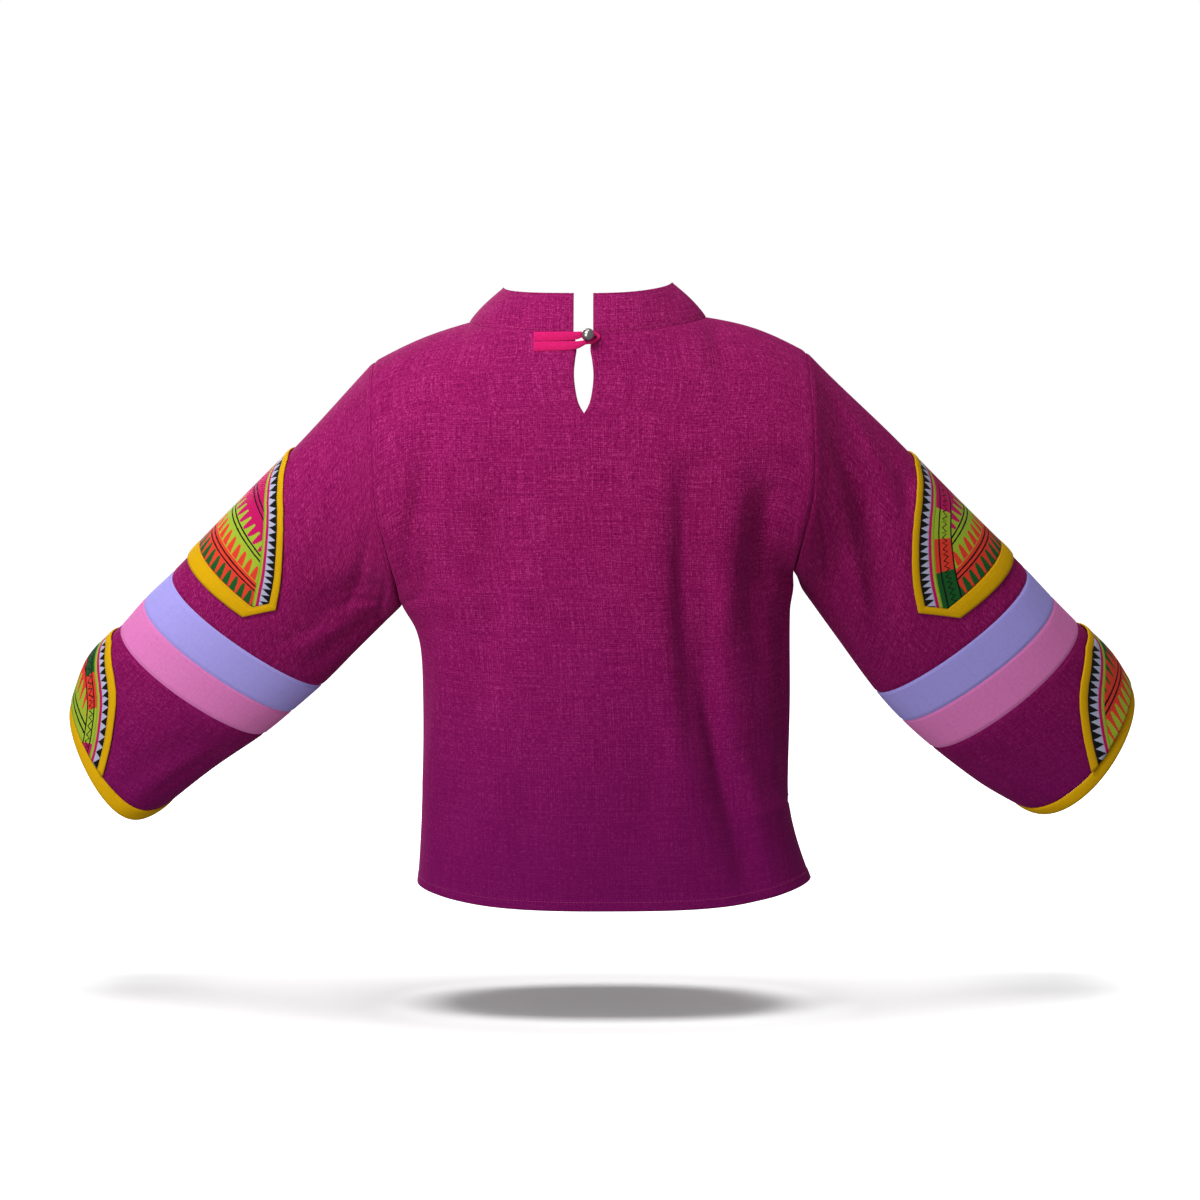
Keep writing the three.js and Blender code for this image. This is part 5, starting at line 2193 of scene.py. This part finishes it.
# Studio
@dataclass(frozen=True)
class SoftLight:
    """A square area light that faces a point."""

    name: str
    place: tuple[float, float, float]
    target: tuple[float, float, float]
    size: float
    power: float
    for_floor: bool = False

    def build(self, floor: bpy.types.Object) -> None:
        """Adds the light, which falls either on the floor alone or on everything else.

        Args:
            floor: The floor.
        """
        light = bpy.data.lights.new(self.name, "AREA")
        light.energy = self.power
        light.size = self.size
        lamp = shown(self.name, light)
        face_point(lamp, self.place, self.target)
        receivers = bpy.data.collections.new(f"{self.name}_receivers")
        receivers.objects.link(floor)
        lamp.light_linking.receiver_collection = receivers
        state = "INCLUDE" if self.for_floor else "EXCLUDE"
        receivers.collection_objects[0].light_linking.link_state = state


@dataclass(frozen=True)
class Studio:
    """The floor, the lights and the camera."""

    floor_level: float = -0.646
    floor_size: float = 30.0
    camera_place: tuple[float, float, float] = (-0.0076, 2.3, -0.18525)
    camera_target: tuple[float, float, float] = (-0.0076, 0.0, -0.26125)
    lens: float = 72.63
    sensor: float = 36.0
    reach: float = 100.0
    ambient: float = 0.26
    glow: float = 0.95
    glow_span: tuple[float, float] = (0.75, 2.2)
    lights: tuple[SoftLight, ...] = (
        SoftLight("key", (0.68, 1.05, 0.85), (0.0, 0.0, -0.2), 0.5, 15.0),
        SoftLight("top", (0.1, 0.3, 1.6), (0.0, 0.0, -0.3), 0.9, 6.0),
        SoftLight("fill", (1.3, 1.75, -0.3), (0.1, 0.0, -0.3), 1.0, 15.5),
        SoftLight("front", (0.9, -1.8, 0.7), (0.0, 0.0, -0.3), 1.2, 26.0),
        SoftLight("overhead", (0.0, 0.0, 2.2), (0.0, 0.0, -0.6), 2.0, 148.0, for_floor=True),
    )

    def floor_finish(self) -> bpy.types.Material:
        """Makes the floor's pale finish, which glows far away so that no horizon shows.

        Returns:
            The material.
        """
        graph = Graph("pale_floor")
        place = graph.place()
        grain = graph.noise(place, 6.0, 2.0)
        tone = graph.mix(grain * 0.2, (0.93, 0.93, 0.93), (0.9, 0.9, 0.9))
        length = graph.node("ShaderNodeVectorMath", {"operation": "LENGTH"}, {0: place})
        far = Term(graph, length.outputs["Value"]).step(*self.glow_span)
        glow = graph.mix(far, (0.0, 0.0, 0.0), (self.glow, self.glow, self.glow))
        return graph.surface(
            {"Specular IOR Level": 0.1, "Emission Strength": 1.0},
            {"Base Color": tone, "Roughness": 0.9 + grain * 0.05, "Emission Color": glow}, None, 0.0,
        )

    def floor(self) -> bpy.types.Object:
        """Adds the floor, which throws no light back on the garment.

        Returns:
            The floor.
        """
        bm = bmesh.new()
        bmesh.ops.create_grid(bm, x_segments=4, y_segments=4, size=self.floor_size)
        bmesh.ops.translate(bm, verts=bm.verts, vec=(0, 0, self.floor_level))
        mesh = closed(bm, "floor")
        mesh.materials.append(self.floor_finish())
        floor = shown("floor", mesh)
        floor.visible_diffuse = False
        floor.visible_glossy = False
        return floor

    def world(self) -> None:
        """Sets a world that the camera sees as white and the garment as a dim soft light."""
        world = bpy.data.worlds.new("white")
        bpy.context.scene.world = world
        world.use_nodes = True
        background = world.node_tree.nodes["Background"]
        background.inputs["Color"].default_value = (1.0, 1.0, 1.0, 1.0)
        seen = world.node_tree.nodes.new("ShaderNodeLightPath")
        level = world.node_tree.nodes.new("ShaderNodeMapRange")
        level.inputs["To Min"].default_value = self.ambient
        level.inputs["To Max"].default_value = 1.0
        world.node_tree.links.new(seen.outputs["Is Camera Ray"], level.inputs["Value"])
        world.node_tree.links.new(level.outputs[0], background.inputs["Strength"])

    def camera(self) -> None:
        """Adds the camera, where the photo was taken from."""
        camera = bpy.data.cameras.new("camera")
        camera.lens = self.lens
        camera.sensor_width = self.sensor
        camera.clip_end = self.reach
        holder = shown("camera", camera)
        face_point(holder, self.camera_place, self.camera_target)
        bpy.context.scene.camera = holder
        bpy.context.scene.view_settings.view_transform = "Standard"

    def build(self) -> None:
        """Adds everything."""
        floor = self.floor()
        for light in self.lights:
            light.build(floor)
        self.world()
        self.camera()


def main() -> None:
    """Makes every piece in order, then the studio."""
    logging.basicConfig(level=logging.INFO, format="%(message)s")
    Studio().build()
    tailor = Tailor(Builder(), make_finishes())
    tailor.panel(BACK, "back", BACK_STEPS, BACK_CUT, BACK_KEPT, ["front_cloth"])
    tailor.panel(FRONT, "front", FRONT_STEPS, FRONT_CUT, FRONT_KEPT, ["back_cloth"])
    tailor.collar()
    for side in Side:
        tailor.sleeve(side)
        for name, shapes, under in (
            ("upper_patch", UPPER, "sleeve_upper_cloth"), ("cuff_patch", CUFF, "sleeve_lower_cloth"),
        ):
            Patch(side, name, shapes[side], EMBROIDERY[name, side], under).build(tailor)
    ButtonLoop().build(tailor)
    BallButton().build(tailor)
    threads = {
        "hemp_stitching": (tailor.finishes.hemp_thread, "hemp"),
        "pink_stitching": (tailor.finishes.pink_thread, "pink"),
        "lilac_stitching": (tailor.finishes.lilac_thread, "lilac"),
        "gold_stitching": (tailor.finishes.gold_thread, "yellow"),
        "white_stitching": (tailor.finishes.white_thread, "hemp"),
    }
    for group, bm in tailor.sewing.items():
        material, slot = threads[group]
        tailor.builder.add(group, closed(bm, group), material, [], slot)
        LOG.info("%s: %d stitches", group, tailor.builder.stitches[group])


if __name__ == "__main__":
    main()
